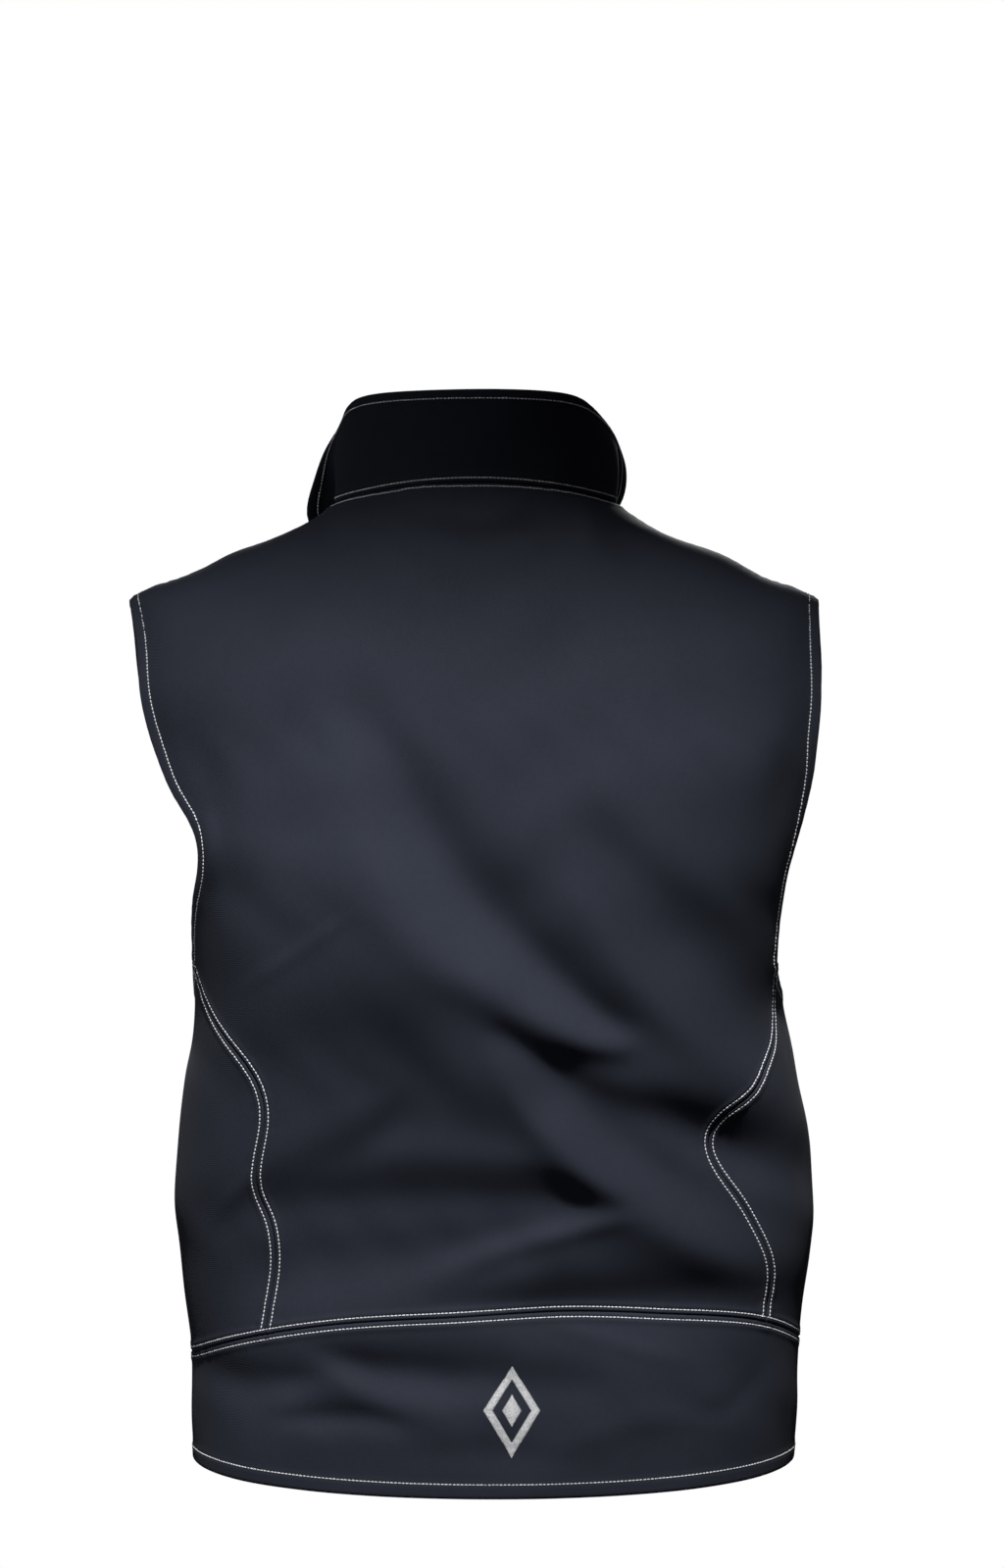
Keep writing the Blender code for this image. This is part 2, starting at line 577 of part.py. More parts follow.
# Pull tab: it hangs from the slider's pin, and its origin is on that pin
pin_place = slider_frame @ Vector((0, pin_y, 2 * MM))
tab_top = -TAB_HOLE_RADIUS - 0.4 * MM
tab = joined([
    box((TAB_WIDTH, TAB_THICKNESS, TAB_LENGTH + tab_top), (0, 0, (tab_top - TAB_LENGTH) / 2)),
    rod(TAB_EYE_RADIUS, TAB_WIDTH, (0, 0, 0), 32),
])
hole = rod(TAB_HOLE_RADIUS, TAB_WIDTH + 2 * MM, (0, 0, 0), 32)
cut = tab.modifiers.new("eye", "BOOLEAN")
cut.operation = "DIFFERENCE"
cut.object = hole
bpy.context.view_layer.update()
tab_mesh = bpy.data.meshes.new_from_object(
    tab.evaluated_get(bpy.context.evaluated_depsgraph_get())
)
tab_mesh.transform(tab.matrix_world)
bpy.data.objects.remove(tab, do_unlink=True)
bpy.data.objects.remove(hole, do_unlink=True)
tab_mesh.materials.clear()
pull = finish_object("zip_pull_tab", tab_mesh, "zip_metal")
pull.location = pin_place
pull.rotation_euler = (-lean, 0, 0)
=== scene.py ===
import math
from types import SimpleNamespace

import bpy
import numpy as np
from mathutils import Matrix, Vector


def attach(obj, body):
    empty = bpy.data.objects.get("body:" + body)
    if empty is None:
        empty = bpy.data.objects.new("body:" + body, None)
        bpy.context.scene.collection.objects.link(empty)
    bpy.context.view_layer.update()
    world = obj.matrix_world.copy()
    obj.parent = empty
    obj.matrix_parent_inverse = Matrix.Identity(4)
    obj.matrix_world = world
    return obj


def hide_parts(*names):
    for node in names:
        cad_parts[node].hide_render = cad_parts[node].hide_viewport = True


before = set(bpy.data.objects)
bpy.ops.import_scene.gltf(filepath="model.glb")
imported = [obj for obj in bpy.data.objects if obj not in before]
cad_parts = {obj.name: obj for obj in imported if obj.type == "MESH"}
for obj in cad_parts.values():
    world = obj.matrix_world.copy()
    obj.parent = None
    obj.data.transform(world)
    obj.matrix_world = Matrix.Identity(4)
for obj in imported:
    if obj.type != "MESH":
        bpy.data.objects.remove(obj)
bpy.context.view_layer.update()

MM = 0.001
BODY = "vest_body"
CLOTH_THICKNESS = 1.8 * MM
SHOULDER_SOFTNESS = 45 * MM
PIECE_INSET = 0.12 * MM
COLLAR_HEIGHT = 66 * MM
COLLAR_CENTRE = (10 * MM, -8 * MM, 0)

# Zip tapes, and the tapes and binding inside the seams
TAPE_THICKNESS = 1.2 * MM
TAPE_WIDTH = 6.5 * MM
TAPE_SINK = 0.5 * MM
BINDING_THICKNESS = 0.5 * MM
BINDING_GAP = 0.5 * MM
BINDING_END = 5 * MM

# Places on the form: lengths up from the hem, and angles from the middle of the back in degrees
UNDERARM = 324 * MM
SHOULDER_TIP = 545 * MM
NECK = 681 * MM
ZIP_TOP = 592 * MM
SIDE_SEAM = 103
ZIP_LINE = 179.98
NECK_OPENING = 156

# Fineness of grids and lines
GRID_STEP = 4.2 * MM
LINE_STEP = 3 * MM
ROW_STEP = 1.2 * MM
FOLD_STEPS = 33
EDGE_POINTS = 400
STRAIGHT_POINTS = 200
BAND_END_POINTS = 120
TAPE_COLUMNS = 7
COLLAR_END_POINTS = 25
COLLAR_RINGS = 8
COLLAR_COLUMNS = 110
COLLAR_POINTS = 160
COLLAR_ROW_POINTS = 500

# Distances of the stitch rows from their seam or edge
SEAM_ROW = 3.3 * MM
NECK_ROW = 3.4 * MM
ARMHOLE_ROW = 7.5 * MM
HEM_ROW = 9.5 * MM
FRONT_ROW = 7 * MM
COLLAR_EDGE_ROW = 6.5 * MM
STITCH_PITCH = 2.6 * MM
STITCH_LENGTH = 2.45 * MM
STITCH_RADIUS = 0.5 * MM
STITCH_LIFT = 0.16 * MM

# How far the reliefs reach from their line, and how much of the slow waves the collar has
RELIEF_REACH = 30 * MM
COLLAR_WAVES = 0.8

# How far the armhole edges stand out at the shoulders, where that starts and its rise
ARMHOLE_FLARE = 3.4 * MM
FLARE_LOW = -235 * MM
FLARE_RISE = 70 * MM

# The embroidered lozenge of the hem band, centred by an angle and a length up from the hem
MOTIF_ANGLE = -2.9
MOTIF_UP = 44 * MM
MOTIF_HALF_WIDTH = 19 * MM
MOTIF_HALF_HEIGHT = 23 * MM
MOTIF_FRAME = 6 * MM
MOTIF_CENTRE = 0.34
MOTIF_PITCH = 0.55 * MM
SATIN_RADIUS = 0.36 * MM
SATIN_LIFT = 0.1 * MM

# Teeth of the zip: length, half-width and half-height, and their place from the tape's edge
TOOTH_PITCH = 2.2 * MM
TOOTH_SIZE = (3.4 * MM, 0.72 * MM, 1.15 * MM)
TOOTH_INWARD = 0.9 * MM
TOOTH_LIFT = 0.2 * MM

CAMERA_PLACE = (-0.0081, 3.0, -0.1944)
CAMERA_LENS = 100
FLOOR_LEVEL = -1.25
FLOOR_HALF = 1.9
WARM_WHITE = (1.0, 0.99, 0.97)
SKY = (0.92, 0.88, 1.0)
SKY_STRENGTH = 0.035

# The worn form, hem to neck, in mm: half_width, centre_x, side_y, back_y, front_y,
# side_z, back_z, front_z, squareness
RINGS = (
    (206, -2, 0, 118, -118, -657, -668, -664, 0.035),
    (208.5, -3, 0, 110.5, -121, -617, -604, -622, 0.035),
    (208.5, -3, 0, 106, -124, -581, -545, -581, 0.035),
    (215.5, -3, 0, 107.5, -127.5, -528, -506, -528, 0.035),
    (219.5, -3, 0, 110, -130, -489, -474, -490, 0.035),
    (218.7, -2.5, 0, 112.5, -131.5, -453, -444, -453, 0.036),
    (210, -1, 0, 118, -132, -391, -388, -395, 0.038),
    (201.5, 0.5, 0, 124, -131.5, -335, -337, -345, 0.042),
    (210, 2, 0, 130.5, -130, -262, -266, -295, 0.05),
    (230, 3, 0, 129.5, -129, -200, -212, -260, 0.055),
    (245, 4.5, 0, 126.5, -127, -150, -170, -230, 0.05),
    (243, 8, 0, 121, -123.5, -102, -135, -205, 0.045),
    (234, 11, 0, 116.5, -120, -70, -110, -187, 0.04),
    (199, 11, 0, 102, -111, -52, -66, -148, 0.03),
    (170, 11, -2, 92, -104, -37.5, -41, -125, 0.02),
    (140, 10.5, -4, 82, -97, -26, -20, -105, 0.012),
    (118.5, 10, -6, 72, -90, -16, -4, -89, 0.006),
    (96.5, 10, -8, 60, -83, -1, 9, -72, 0),
)

# Seams and edges: angle in degrees, length up from the hem in mm
BAND_SEAM = (
    (-103, 98), (-79, 103), (-57, 107), (-32, 103), (-12, 100), (5, 96), (22, 95.5), (43, 94),
    (62, 92), (85, 91), (103, 92),
)
BACK_SEAM_LEFT = (
    (43, 94), (41.5, 118), (40, 142), (40.5, 171), (43, 192), (43, 208), (42, 226),
    (41.5, 244), (42.5, 258), (47, 278), (55, 297), (65.5, 319), (75, 345),
)
BACK_SEAM_RIGHT = (
    (-57, 107), (-57, 132), (-55, 149), (-51, 167), (-46.5, 186), (-42, 203), (-39.5, 222),
    (-40, 232), (-43, 245), (-50, 258), (-59, 277), (-69, 296), (-74, 315), (-72.5, 345),
)
ARMHOLE_BACK_LEFT = (
    (75, 345), (71, 362), (63, 384), (57, 400), (54.5, 415), (55.5, 430), (58.5, 444),
    (60.5, 460), (62, 475), (63.5, 493), (65.5, 510), (70, 528), (78, 540), (90, 545),
)
ARMHOLE_BACK_RIGHT = (
    (-72.5, 345), (-72, 360), (-71, 376), (-69.5, 391), (-69, 408), (-68, 430), (-66, 452),
    (-63.5, 475), (-64, 494), (-66, 510), (-70.5, 528), (-78, 540), (-90, 545),
)
ARMHOLE_UNDER = ((75, 345), (79, 335), (85, 328), (93, 324), (103, 324))
ARMHOLE_FRONT = (
    (103, 324), (111, 332), (117, 350), (120.5, 378), (121, 410), (119.5, 440), (116, 470),
    (111, 498), (104, 522), (97, 538), (90, 545),
)

# Collar: angle, then top_x, top_y, top_z, mid_out and mid_up in mm
COLLAR = (
    (156, 105, -91, -34, 8, 30),
    (146, 119, -79, -22, 9, 32),
    (136, 129, -63, -7, 9, 34),
    (124, 124, -47, 17, 9, 36),
    (112, 116, -33, 37, 7, 36),
    (98, 105, -15, 53, 4, 36),
    (80, 99, 9, 63, 0, 36),
    (60, 89, 33, 69, 1, 34),
    (30, 52, 57, 71.5, 2, 34),
    (0, 3, 65, 72, 3, 33),
    (-30, -42, 57, 71, 2, 34),
    (-60, -67, 31, 66, 2, 34),
    (-80, -77, 8, 58, 4, 34),
    (-98, -85, -16, 49, 6, 32),
    (-112, -92, -42, 37, 7, 32),
    (-124, -96, -70, 25, 7, 32),
    (-136, -94, -96, 8, 6, 31),
    (-146, -85, -111, -6, 5, 30),
    (-156, -74, -121, -19, 4, 30),
)

# Folds of the worn cloth, each a line of stations: x, z, height out of the form and
# half-width, in mm. Positive heights are ridges, negative ones troughs.
FOLDS_BACK = (
    ((110, -97.5, 0, 20), (100, -162.5, 2, 22), (87, -217.5, 4, 24), (67.5, -266, 7, 22),
     (42, -303.5, 7, 21), (7.5, -328, 7, 18), (-29.5, -350, 6, 14), (-68.5, -367.5, 5, 10),
     (-97.5, -371.5, 0, 8)),
    ((86.5, -123.5, 0, 14), (76, -159, -5, 19), (56.5, -198, -9, 23), (29, -243.5, -12, 25),
     (-5.5, -283.5, -13, 24), (-39, -316.5, -10, 18), (-70.5, -345, -6, 12), (-101.5, -362, 0, 8)),
    ((110, -194.5, 0, 20), (97, -259.5, 4, 28), (67.5, -314.5, 6, 32), (29, -355.5, 6, 30),
     (-13.5, -402, 5, 24), (-49, -441, 5, 18), (-73, -463.5, 1.5, 12), (-91, -478.5, 0, 10)),
    ((-45.5, -214, 0, 16), (-58.5, -263, 2, 16), (-75, -301.5, 4, 15), (-101, -334, 4, 14),
     (-130, -366.5, 3, 14), (-159, -395.5, 0, 12)),
    ((-58.5, -207.5, 0, 14), (-81.5, -240, -5, 18), (-108.5, -275.5, -7, 24),
     (-146, -314.5, -8, 28), (-182, -353.5, -7, 28), (-201, -395.5, 0, 24)),
    ((2.5, -351.5, 0, 8), (-14.5, -364.5, -3.5, 9), (-38, -389, -4, 12), (-65, -413.5, -5, 13),
     (-94.5, -436, -6, 14), (-126.5, -457, -6, 16), (-162.5, -476.5, -6, 18), (-201, -494, 0, 16)),
    ((-29.5, -369.5, 0, 8), (-60, -394.5, -2.5, 11), (-91, -408.5, -5, 14),
     (-123.5, -417.5, -8, 17), (-156, -430.5, -11, 21), (-188, -448.5, -14, 24),
     (-224, -463.5, 0, 22)),
    ((-65, -403.5, 0, 10), (-97.5, -421.5, -2.5, 13), (-130, -434.5, -3.5, 15),
     (-162.5, -448.5, -3.5, 17), (-194.5, -468, 0, 16)),
    ((3, -369.5, 0, 8), (-13.5, -398, 2, 9), (-34, -425.5, 3, 11), (-60, -450, 4.5, 13),
     (-88, -474.5, 6, 16), (-120, -498, 6, 17), (-156, -513.5, 4, 17), (-194.5, -525, 0, 16)),
    ((-91, -468, 0, 8), (-52, -450, 1, 9), (-0.5, -441.5, 1.5, 12), (64.5, -439, 1.5, 14),
     (129.5, -443.5, 1, 14), (184.5, -459, 0, 12)),
    ((-101, -478.5, 0, 6), (-73, -473.5, -1.5, 9), (-32.5, -471, -3, 13), (19, -470, -5, 17),
     (77.5, -472, -5.5, 19), (142, -477.5, -5, 19), (200.5, -490, 0, 16)),
    ((-101, -480, 0, 6), (-73, -480, -1, 9), (-32.5, -489, -3, 15), (19, -501, -6, 24),
     (77.5, -509.5, -7.5, 31), (142, -514, -7.5, 33), (207, -520, 0, 28)),
    ((-97.5, -480, 0, 6), (-65, -489, 2.5, 7), (-20, -501, 3, 8), (25.5, -517.5, 2.5, 10),
     (71, -533, 0.5, 14), (129.5, -542, 0, 16)),
    ((45, -542, 0, 6), (12.5, -541, -3, 11), (-32.5, -541, -5, 15), (-84.5, -539.5, -7, 18),
     (-136.5, -539.5, -6, 19), (-175.5, -541, -3.5, 18), (-207.5, -543.5, 0, 14)),
    ((-13.5, -560, 0, 14), (-65, -559, -3, 19), (-130, -559, -3.5, 21), (-188, -561.5, 0, 16)),
    ((121.5, -570.5, 0, 7), (100, -579.5, -4, 10), (64.5, -586, -6.5, 14), (19, -590, -6.5, 16),
     (-32.5, -592.5, -4, 16), (-97.5, -595, 0, 12)),
    ((116.5, -570.5, 0, 8), (97, -591.5, 2, 9), (64.5, -607, 2, 10), (25.5, -614.5, 0, 10)),
    ((207, -588.5, 0, 14), (178, -595, -4, 15), (142, -595, -4, 12), (106.5, -587.5, 0, 8)),
    ((148.5, -618.5, 0, 6), (123, -617, -3, 8), (97, -615.5, -4, 9), (74, -617, -3, 8),
     (53, -622.5, 0, 6)),
    ((-156, -570.5, 0, 10), (-175.5, -596.5, -2, 12), (-188, -629, 0, 12)),
    ((226.5, -227, 0, 50), (174.5, -279, 7, 60), (110, -318, 7, 60), (38.5, -356.5, 0, 50)),
    ((213.5, -402, 0, 50), (155, -421.5, -4, 60), (77.5, -431, -4, 60), (-0.5, -428, 0, 40)),
)
FOLDS_FRONT = (
    ((175, -270, 0, 16), (135, -312, 4, 20), (90, -350, 5, 20), (50, -372, 3, 16),
     (24, -382, 0, 12)),
    ((180, -330, 0, 14), (130, -374, -5, 18), (80, -406, -6, 18), (45, -418, -4, 15),
     (24, -424, 0, 12)),
    ((205, -405, 0, 16), (150, -438, 4, 20), (90, -462, 4, 20), (45, -474, 3, 16),
     (24, -478, 0, 12)),
    ((205, -455, 0, 16), (150, -492, -4, 20), (90, -512, -5, 20), (45, -524, -3, 16),
     (24, -528, 0, 12)),
    ((-170, -265, 0, 16), (-128, -316, -5, 20), (-80, -352, -6, 20), (-45, -370, -3, 16),
     (-24, -378, 0, 12)),
    ((-180, -322, 0, 14), (-130, -372, 5, 18), (-80, -398, 5, 18), (-45, -411, 3, 15),
     (-24, -417, 0, 12)),
    ((-205, -418, 0, 16), (-150, -454, -4, 20), (-90, -474, -4, 20), (-45, -485, -3, 16),
     (-24, -489, 0, 12)),
    ((-205, -478, 0, 16), (-150, -516, 4, 20), (-90, -538, 4, 20), (-45, -550, 3, 16),
     (-24, -554, 0, 12)),
)

# Smaller creases of the back, too low for the solids, in the same columns
FINE_CREASES = (
    ((61, 5, 0, 8), (42, -9, 2, 9), (14, -15, 2.4, 10), (-13, -11, 2, 9), (-31, 2, 0, 8)),
    ((64, -9, 0, 8), (42, -24, -1.7, 9), (13, -31, -2, 10), (-17, -27, -1.7, 9), (-37, -12, 0, 8)),
    ((96, -4, 0, 7), (99, -20, 2, 8), (105, -39, 0, 9)),
    ((110, -13, 0, 8), (115, -29, -2, 9), (122, -49, 0, 10)),
    ((-69, -4, 0, 8), (-66, -23, 2, 10), (-63, -49, 0, 12)),
    ((-79, -13, 0, 10), (-91, -31, -3.5, 14), (-104, -59, 0, 14)),
    ((207, -140, 0, 12), (196, -172, -3.5, 15), (180, -214, -1.5, 15), (173, -247, 0, 14)),
    ((189, -212, 0, 5), (185, -226, 2.6, 5), (183, -246, 2.6, 5), (184, -266, 0, 5)),
    ((-219, -130, 0, 12), (-209, -166, -3, 15), (-196, -214, -2, 16), (-187, -260, 0, 14)),
    ((184, -232, 0, 14), (152, -241, 2.5, 18), (110, -247, 0, 16)),
    ((184, -263, 0, 14), (154, -282, -2, 20), (116, -298, 0, 18)),
    ((83, -276, 0, 4), (110, -295, 0.7, 4.5), (139, -315, 0.8, 4.5), (165, -334, 0, 4)),
    ((158, -447, 0, 10), (123, -428, 2, 16), (83, -414, 1.8, 14), (66, -396, 0, 10)),
    ((129, -447, 0, 10), (90, -440, -1.5, 12), (64, -422, -1.2, 12), (52, -396, 0, 10)),
    ((191, -496, 0, 5), (182, -480, 1, 6), (165, -462, 1, 6), (145, -447, 0, 5)),
    ((-29, -552, 0, 5), (-65, -561, 0.9, 6), (-104, -573, 0.9, 6), (-143, -581, 0, 6)),
    ((-123, -604, 0, 6), (-153, -615, -1.2, 8), (-175, -600, -1.2, 8), (-190, -578, 0, 7)),
    ((64, -643, 0, 8), (13, -638, -1.2, 10), (-39, -642, -1, 10), (-91, -648, 0, 8)),
    ((-39, -635, 0, 7), (-78, -624, 1, 9), (-123, -616, 1, 9), (-156, -624, 0, 8)),
)


def unit(vectors):
    return vectors / np.linalg.norm(vectors, axis=-1, keepdims=True)


def run(points):
    """Length along a line of points, at each of them."""
    steps = np.linalg.norm(np.diff(points, axis=0), axis=1)
    return np.concatenate([[0], np.cumsum(steps)])


def picked(values, places, knots):
    """Rows of values at other places of their knots."""
    return np.stack([np.interp(places, knots, column) for column in values.T], -1)


def natural_spline(knots, values):
    """A cubic curve through the values, returned as a function of the knots' measure."""
    count = len(knots)
    span = np.diff(knots)
    system = np.eye(count)
    right = np.zeros_like(values)
    for i in range(1, count - 1):
        system[i, i - 1:i + 2] = span[i - 1], 2 * (span[i - 1] + span[i]), span[i]
        slope_after = (values[i + 1] - values[i]) / span[i]
        slope_before = (values[i] - values[i - 1]) / span[i - 1]
        right[i] = 6 * (slope_after - slope_before)
    bend = np.linalg.solve(system, right)

    def evaluate(measure):
        measure = np.asarray(measure, float)
        i = np.clip(np.searchsorted(knots, measure) - 1, 0, count - 2)
        t = (measure - knots[i])[..., None]
        h = span[i][..., None]
        slope = (values[i + 1] - values[i]) / h - h * (2 * bend[i] + bend[i + 1]) / 6
        cubic = t ** 3 * (bend[i + 1] - bend[i]) / (6 * h)
        return values[i] + t * slope + t ** 2 * bend[i] / 2 + cubic

    return evaluate


def section(ring, angle):
    """Points of a ring at the given angles in radians."""
    columns = np.moveaxis(ring, -1, 0)
    half, centre_x, side_y, back_y, front_y, side_z, back_z, front_z, square = columns
    cosine = np.cos(angle)
    at_back = cosine > 0
    depth = np.where(at_back, back_y - side_y, side_y - front_y)
    tilt = np.where(at_back, back_z, front_z) - side_z
    x = centre_x + half * ((1 + square) * np.sin(angle) + square * np.sin(3 * angle))
    y = side_y + depth * ((1 + square) * cosine - square * np.cos(3 * angle))
    return np.stack([x, y, side_z + tilt * cosine ** 2], -1)


ring_table = np.array(RINGS, float)
ring_table[:, :8] *= MM
quarters = np.radians([0, 90, 180])
ring_points = np.stack([section(ring_table, np.full(len(RINGS), turn)) for turn in quarters])
ring_gaps = np.linalg.norm(np.diff(ring_points, axis=1), axis=-1).mean(axis=0)
ring_heights = np.concatenate([[0], np.cumsum(ring_gaps)])
ring_heights *= NECK / ring_heights[-1]
ring_at = natural_spline(ring_heights, ring_table)


def form(angle, up):
    """Points of the smooth form; angle in degrees, up in metres from the hem."""
    up = np.clip(np.asarray(up, float), 0, NECK)
    angle, up = np.broadcast_arrays(np.radians(angle), up)
    ring = ring_at(up)
    reach = np.minimum(SHOULDER_SOFTNESS, np.minimum(up, NECK - up))
    soft = sum(ring_at(up + share * reach) for share in (-1, -0.6, -0.2, 0.2, 0.6, 1)) / 6
    corner = np.sin(angle)[..., None] ** 6
    return section(soft + (ring - soft) * corner, angle)


def form_slopes(angle, up):
    """How the form moves with a degree of angle and with a metre up, and its normals."""
    up = np.clip(up, 1 * MM, NECK - 1 * MM)
    around = (form(angle + 0.2, up) - form(angle - 0.2, up)) / 0.4
    upward = (form(angle, up + 0.5 * MM) - form(angle, up - 0.5 * MM)) / MM
    return around, upward, unit(np.cross(upward, around))


def near_line(points, line):
    """Distance of points from a line, and how far along it the nearest place is."""
    nearest = np.full(points.shape[:-1], 1e9)
    along = np.zeros(points.shape[:-1])
    begin = 0.0
    for start, end in zip(line[:-1], line[1:]):
        step = end - start
        length = np.linalg.norm(step)
        share = np.clip(((points - start) @ step) / length ** 2, 0, 1)
        gap = np.linalg.norm(points - start - share[..., None] * step, axis=-1)
        closer = gap < nearest
        nearest = np.where(closer, gap, nearest)
        along = np.where(closer, begin + share * length, along)
        begin += length
    return nearest, along


def laid_height(points, folds, facing):
    """Height of a set of folds, on the back where facing is 1, on the front where it is -1."""
    height = np.zeros(points.shape[:-1])
    shown = np.clip(facing * points[..., 1] / (30 * MM), 0, 1)
    for stations in folds:
        table = np.array(stations, float) * MM
        knots = run(table[:, :2])
        swell = np.zeros_like(height)
        line = natural_spline(knots, table)
        for x, z, rise, width in line(np.linspace(0, knots[-1], FOLD_STEPS)):
            gap = (points[..., 0] - x) ** 2 + (points[..., 2] - z) ** 2
            swell += rise / width * np.exp(-gap / width ** 2)
        height += shown * swell * knots[-1] / (FOLD_STEPS - 1) / math.sqrt(math.pi)
    return height


def fold_height(points):
    """Height of the folds above the form, as in the solids."""
    return laid_height(points, FOLDS_BACK, 1) + laid_height(points, FOLDS_FRONT, -1)


def slow_waves(points):
    """Low uneven swells of worn cloth, in metres."""
    x, y, z = np.moveaxis(points, -1, 0)
    swell = 0.45 * np.sin(41 * x + 63 * z + 0.7) * np.sin(23 * z - 17 * x + 12 * y + 1.9)
    swell += 0.3 * np.sin(87 * z + 35 * x + 3.1 + 1.5 * np.sin(31 * x + 9 * y))
    swell += 0.22 * np.sin(131 * x - 72 * z + 2.2 + 1.3 * np.sin(57 * z))
    return swell * MM + laid_height(points, FINE_CREASES, 1)


def edge(corners, mirror=False):
    """A smooth edge through (angle, mm) points, as evenly spaced (angle, metre) points."""
    table = np.array(corners, float)
    table[:, 1] *= MM
    if mirror:
        table[:, 0] *= -1
    knots = travelled(table)
    curve = natural_spline(knots, table)(np.linspace(0, knots[-1], 2 * EDGE_POINTS))
    return evened(curve, EDGE_POINTS)


def travelled(curve):
    """Length along a curve of (angle, metre) points, at each of them."""
    return run(form(curve[:, 0], curve[:, 1]))


def evened(curve, count):
    """The same curve with its points evenly spaced."""
    lengths = travelled(curve)
    return picked(curve, np.linspace(0, lengths[-1], count), lengths)


def straight(start, end):
    """A straight edge between two (angle, metre) points."""
    return evened(np.linspace(start, end, STRAIGHT_POINTS), STRAIGHT_POINTS)


def at_shares(curve, shares):
    """Points of an evenly spaced curve at shares of its length."""
    return picked(curve, shares, np.linspace(0, 1, len(curve)))


# Rows and columns lie close together beside a seam or edge and wider apart elsewhere
CLOSE = np.array((
    0, 0.3, 0.8, 1.4, 2.0, 2.6, 3.3, 4.0, 4.7, 5.6, 6.6, 7.5, 8.4, 9.5, 10.6, 12.5, 15.5,
)) * MM
SHORT_LINE = 2.6 * CLOSE[-1]


def spread(length, close_start, close_end, count):
    """Places along a length, as shares of it, with count steps in its middle part."""
    length = np.asarray(length, float)[..., None]
    squeeze = np.minimum(1, length / SHORT_LINE)
    start = CLOSE[-1] * squeeze * close_start
    end = CLOSE[-1] * squeeze * close_end
    middle = start + (length - start - end) * np.linspace(0, 1, count + 1)
    places = [middle]
    if close_start:
        places.insert(0, CLOSE[:-1] * squeeze)
    if close_end:
        places.append(length - CLOSE[-2::-1] * squeeze)
    return np.concatenate(places, -1) / length


def patch(first, last, bottom, top):
    """A grid of (angle, metre) points between four edges, close together along them.

    first and last are lists of curves that go up the two sides, curve by curve level.
    """
    rows_first, rows_last = [], []
    for k, (one, other) in enumerate(zip(first, last)):
        length = (travelled(one)[-1] + travelled(other)[-1]) / 2
        count = max(2, int(round(length / GRID_STEP)))
        shares = spread(length, k == 0, k == len(first) - 1, count)
        shares = shares if k == 0 else shares[1:]
        rows_first.append(at_shares(one, shares))
        rows_last.append(at_shares(other, shares))
    start = np.concatenate(rows_first)
    end = np.concatenate(rows_last)
    run_start, run_end = travelled(start), travelled(end)
    w = (run_start / run_start[-1] + run_end / run_end[-1]) / 2
    fine = np.linspace(0, 1, 40)[None, :, None]
    across = (1 - fine) * start[:, None] + fine * end[:, None]
    across = form(across[..., 0], across[..., 1])
    widths = np.linalg.norm(np.diff(across, axis=1), axis=-1).sum(axis=1)
    u = spread(widths, True, True, max(2, int(round(widths.mean() / GRID_STEP))))
    w = np.broadcast_to(w[:, None], u.shape)[..., None]
    low = at_shares(bottom, u)
    high = at_shares(top, u)
    u = u[..., None]
    sides = (1 - u) * start[:, None] + u * end[:, None]
    ends = (1 - w) * low + w * high
    corners = (1 - w) * ((1 - u) * bottom[0] + u * bottom[-1])
    corners = corners + w * ((1 - u) * top[0] + u * top[-1])
    return sides + ends - corners


def beside(curve, width):
    """Moves an edge round the body by a width in metres."""
    degree = form(curve[:, 0] + 1, curve[:, 1]) - form(curve[:, 0], curve[:, 1])
    reach = np.linalg.norm(degree, axis=-1)
    return np.stack([curve[:, 0] + width / reach, curve[:, 1]], -1)


def offset(curve, distance):
    """An edge moved sideways over the form, to its left as seen from outside if positive."""
    points = form(curve[:, 0], curve[:, 1])
    around, upward, normal = form_slopes(curve[:, 0], curve[:, 1])
    sideways = np.cross(normal, unit(np.gradient(points, axis=0))) * distance
    aa = (around * around).sum(-1)
    au = (around * upward).sum(-1)
    uu = (upward * upward).sum(-1)
    sa = (sideways * around).sum(-1)
    su = (sideways * upward).sum(-1)
    scale = aa * uu - au ** 2
    return curve + np.stack([(sa * uu - su * au) / scale, (su * aa - sa * au) / scale], -1)


def trimmed(curve, start, end):
    """A curve without its first and last metres."""
    lengths = travelled(curve)
    share = np.linspace(start / lengths[-1], 1 - end / lengths[-1], len(curve))
    return at_shares(evened(curve, len(curve)), share)


def chain(*curves):
    """Curves end to end as one, evenly spaced."""
    joined = np.concatenate([curves[0]] + [curve[1:] for curve in curves[1:]])
    return evened(joined, max(20, int(travelled(joined)[-1] / LINE_STEP)))


def side_edges(tag, side, seam, arm_back, arm_under, band_end):
    """Edges of the pieces on one side of the vest: side is 1 on the left, -1 on the right."""
    own = SimpleNamespace(tag=tag, side=side, seam=edge(seam), arm_back=edge(arm_back))
    own.arm_under = edge(arm_under, side < 0)
    own.arm_front = edge(ARMHOLE_FRONT, side < 0)
    own.armhole = chain(own.arm_back[::-1], own.arm_under, own.arm_front)
    own.shoulder = straight((side * 90, SHOULDER_TIP), (side * 90, NECK))
    low, middle, high = ((side * SIDE_SEAM, up) for up in (0, band_end, UNDERARM))
    own.side_low = straight(low, middle)
    own.side_high = straight(middle, high)
    own.outer = (own.side_low, own.side_high, own.arm_front, own.shoulder)
    top = (side * ZIP_LINE, ZIP_TOP)
    own.zip = straight((side * ZIP_LINE, 0), top), straight(top, (side * NECK_OPENING, NECK))
    own.front = tuple(beside(line, -side * TAPE_WIDTH) for line in own.zip)
    own.front_line = chain(*own.front)
    own.hem = straight(*(low, own.front[0][0])[::side])
    own.neck = straight(*((side * 90, NECK), own.front[1][-1])[::side])
    return own


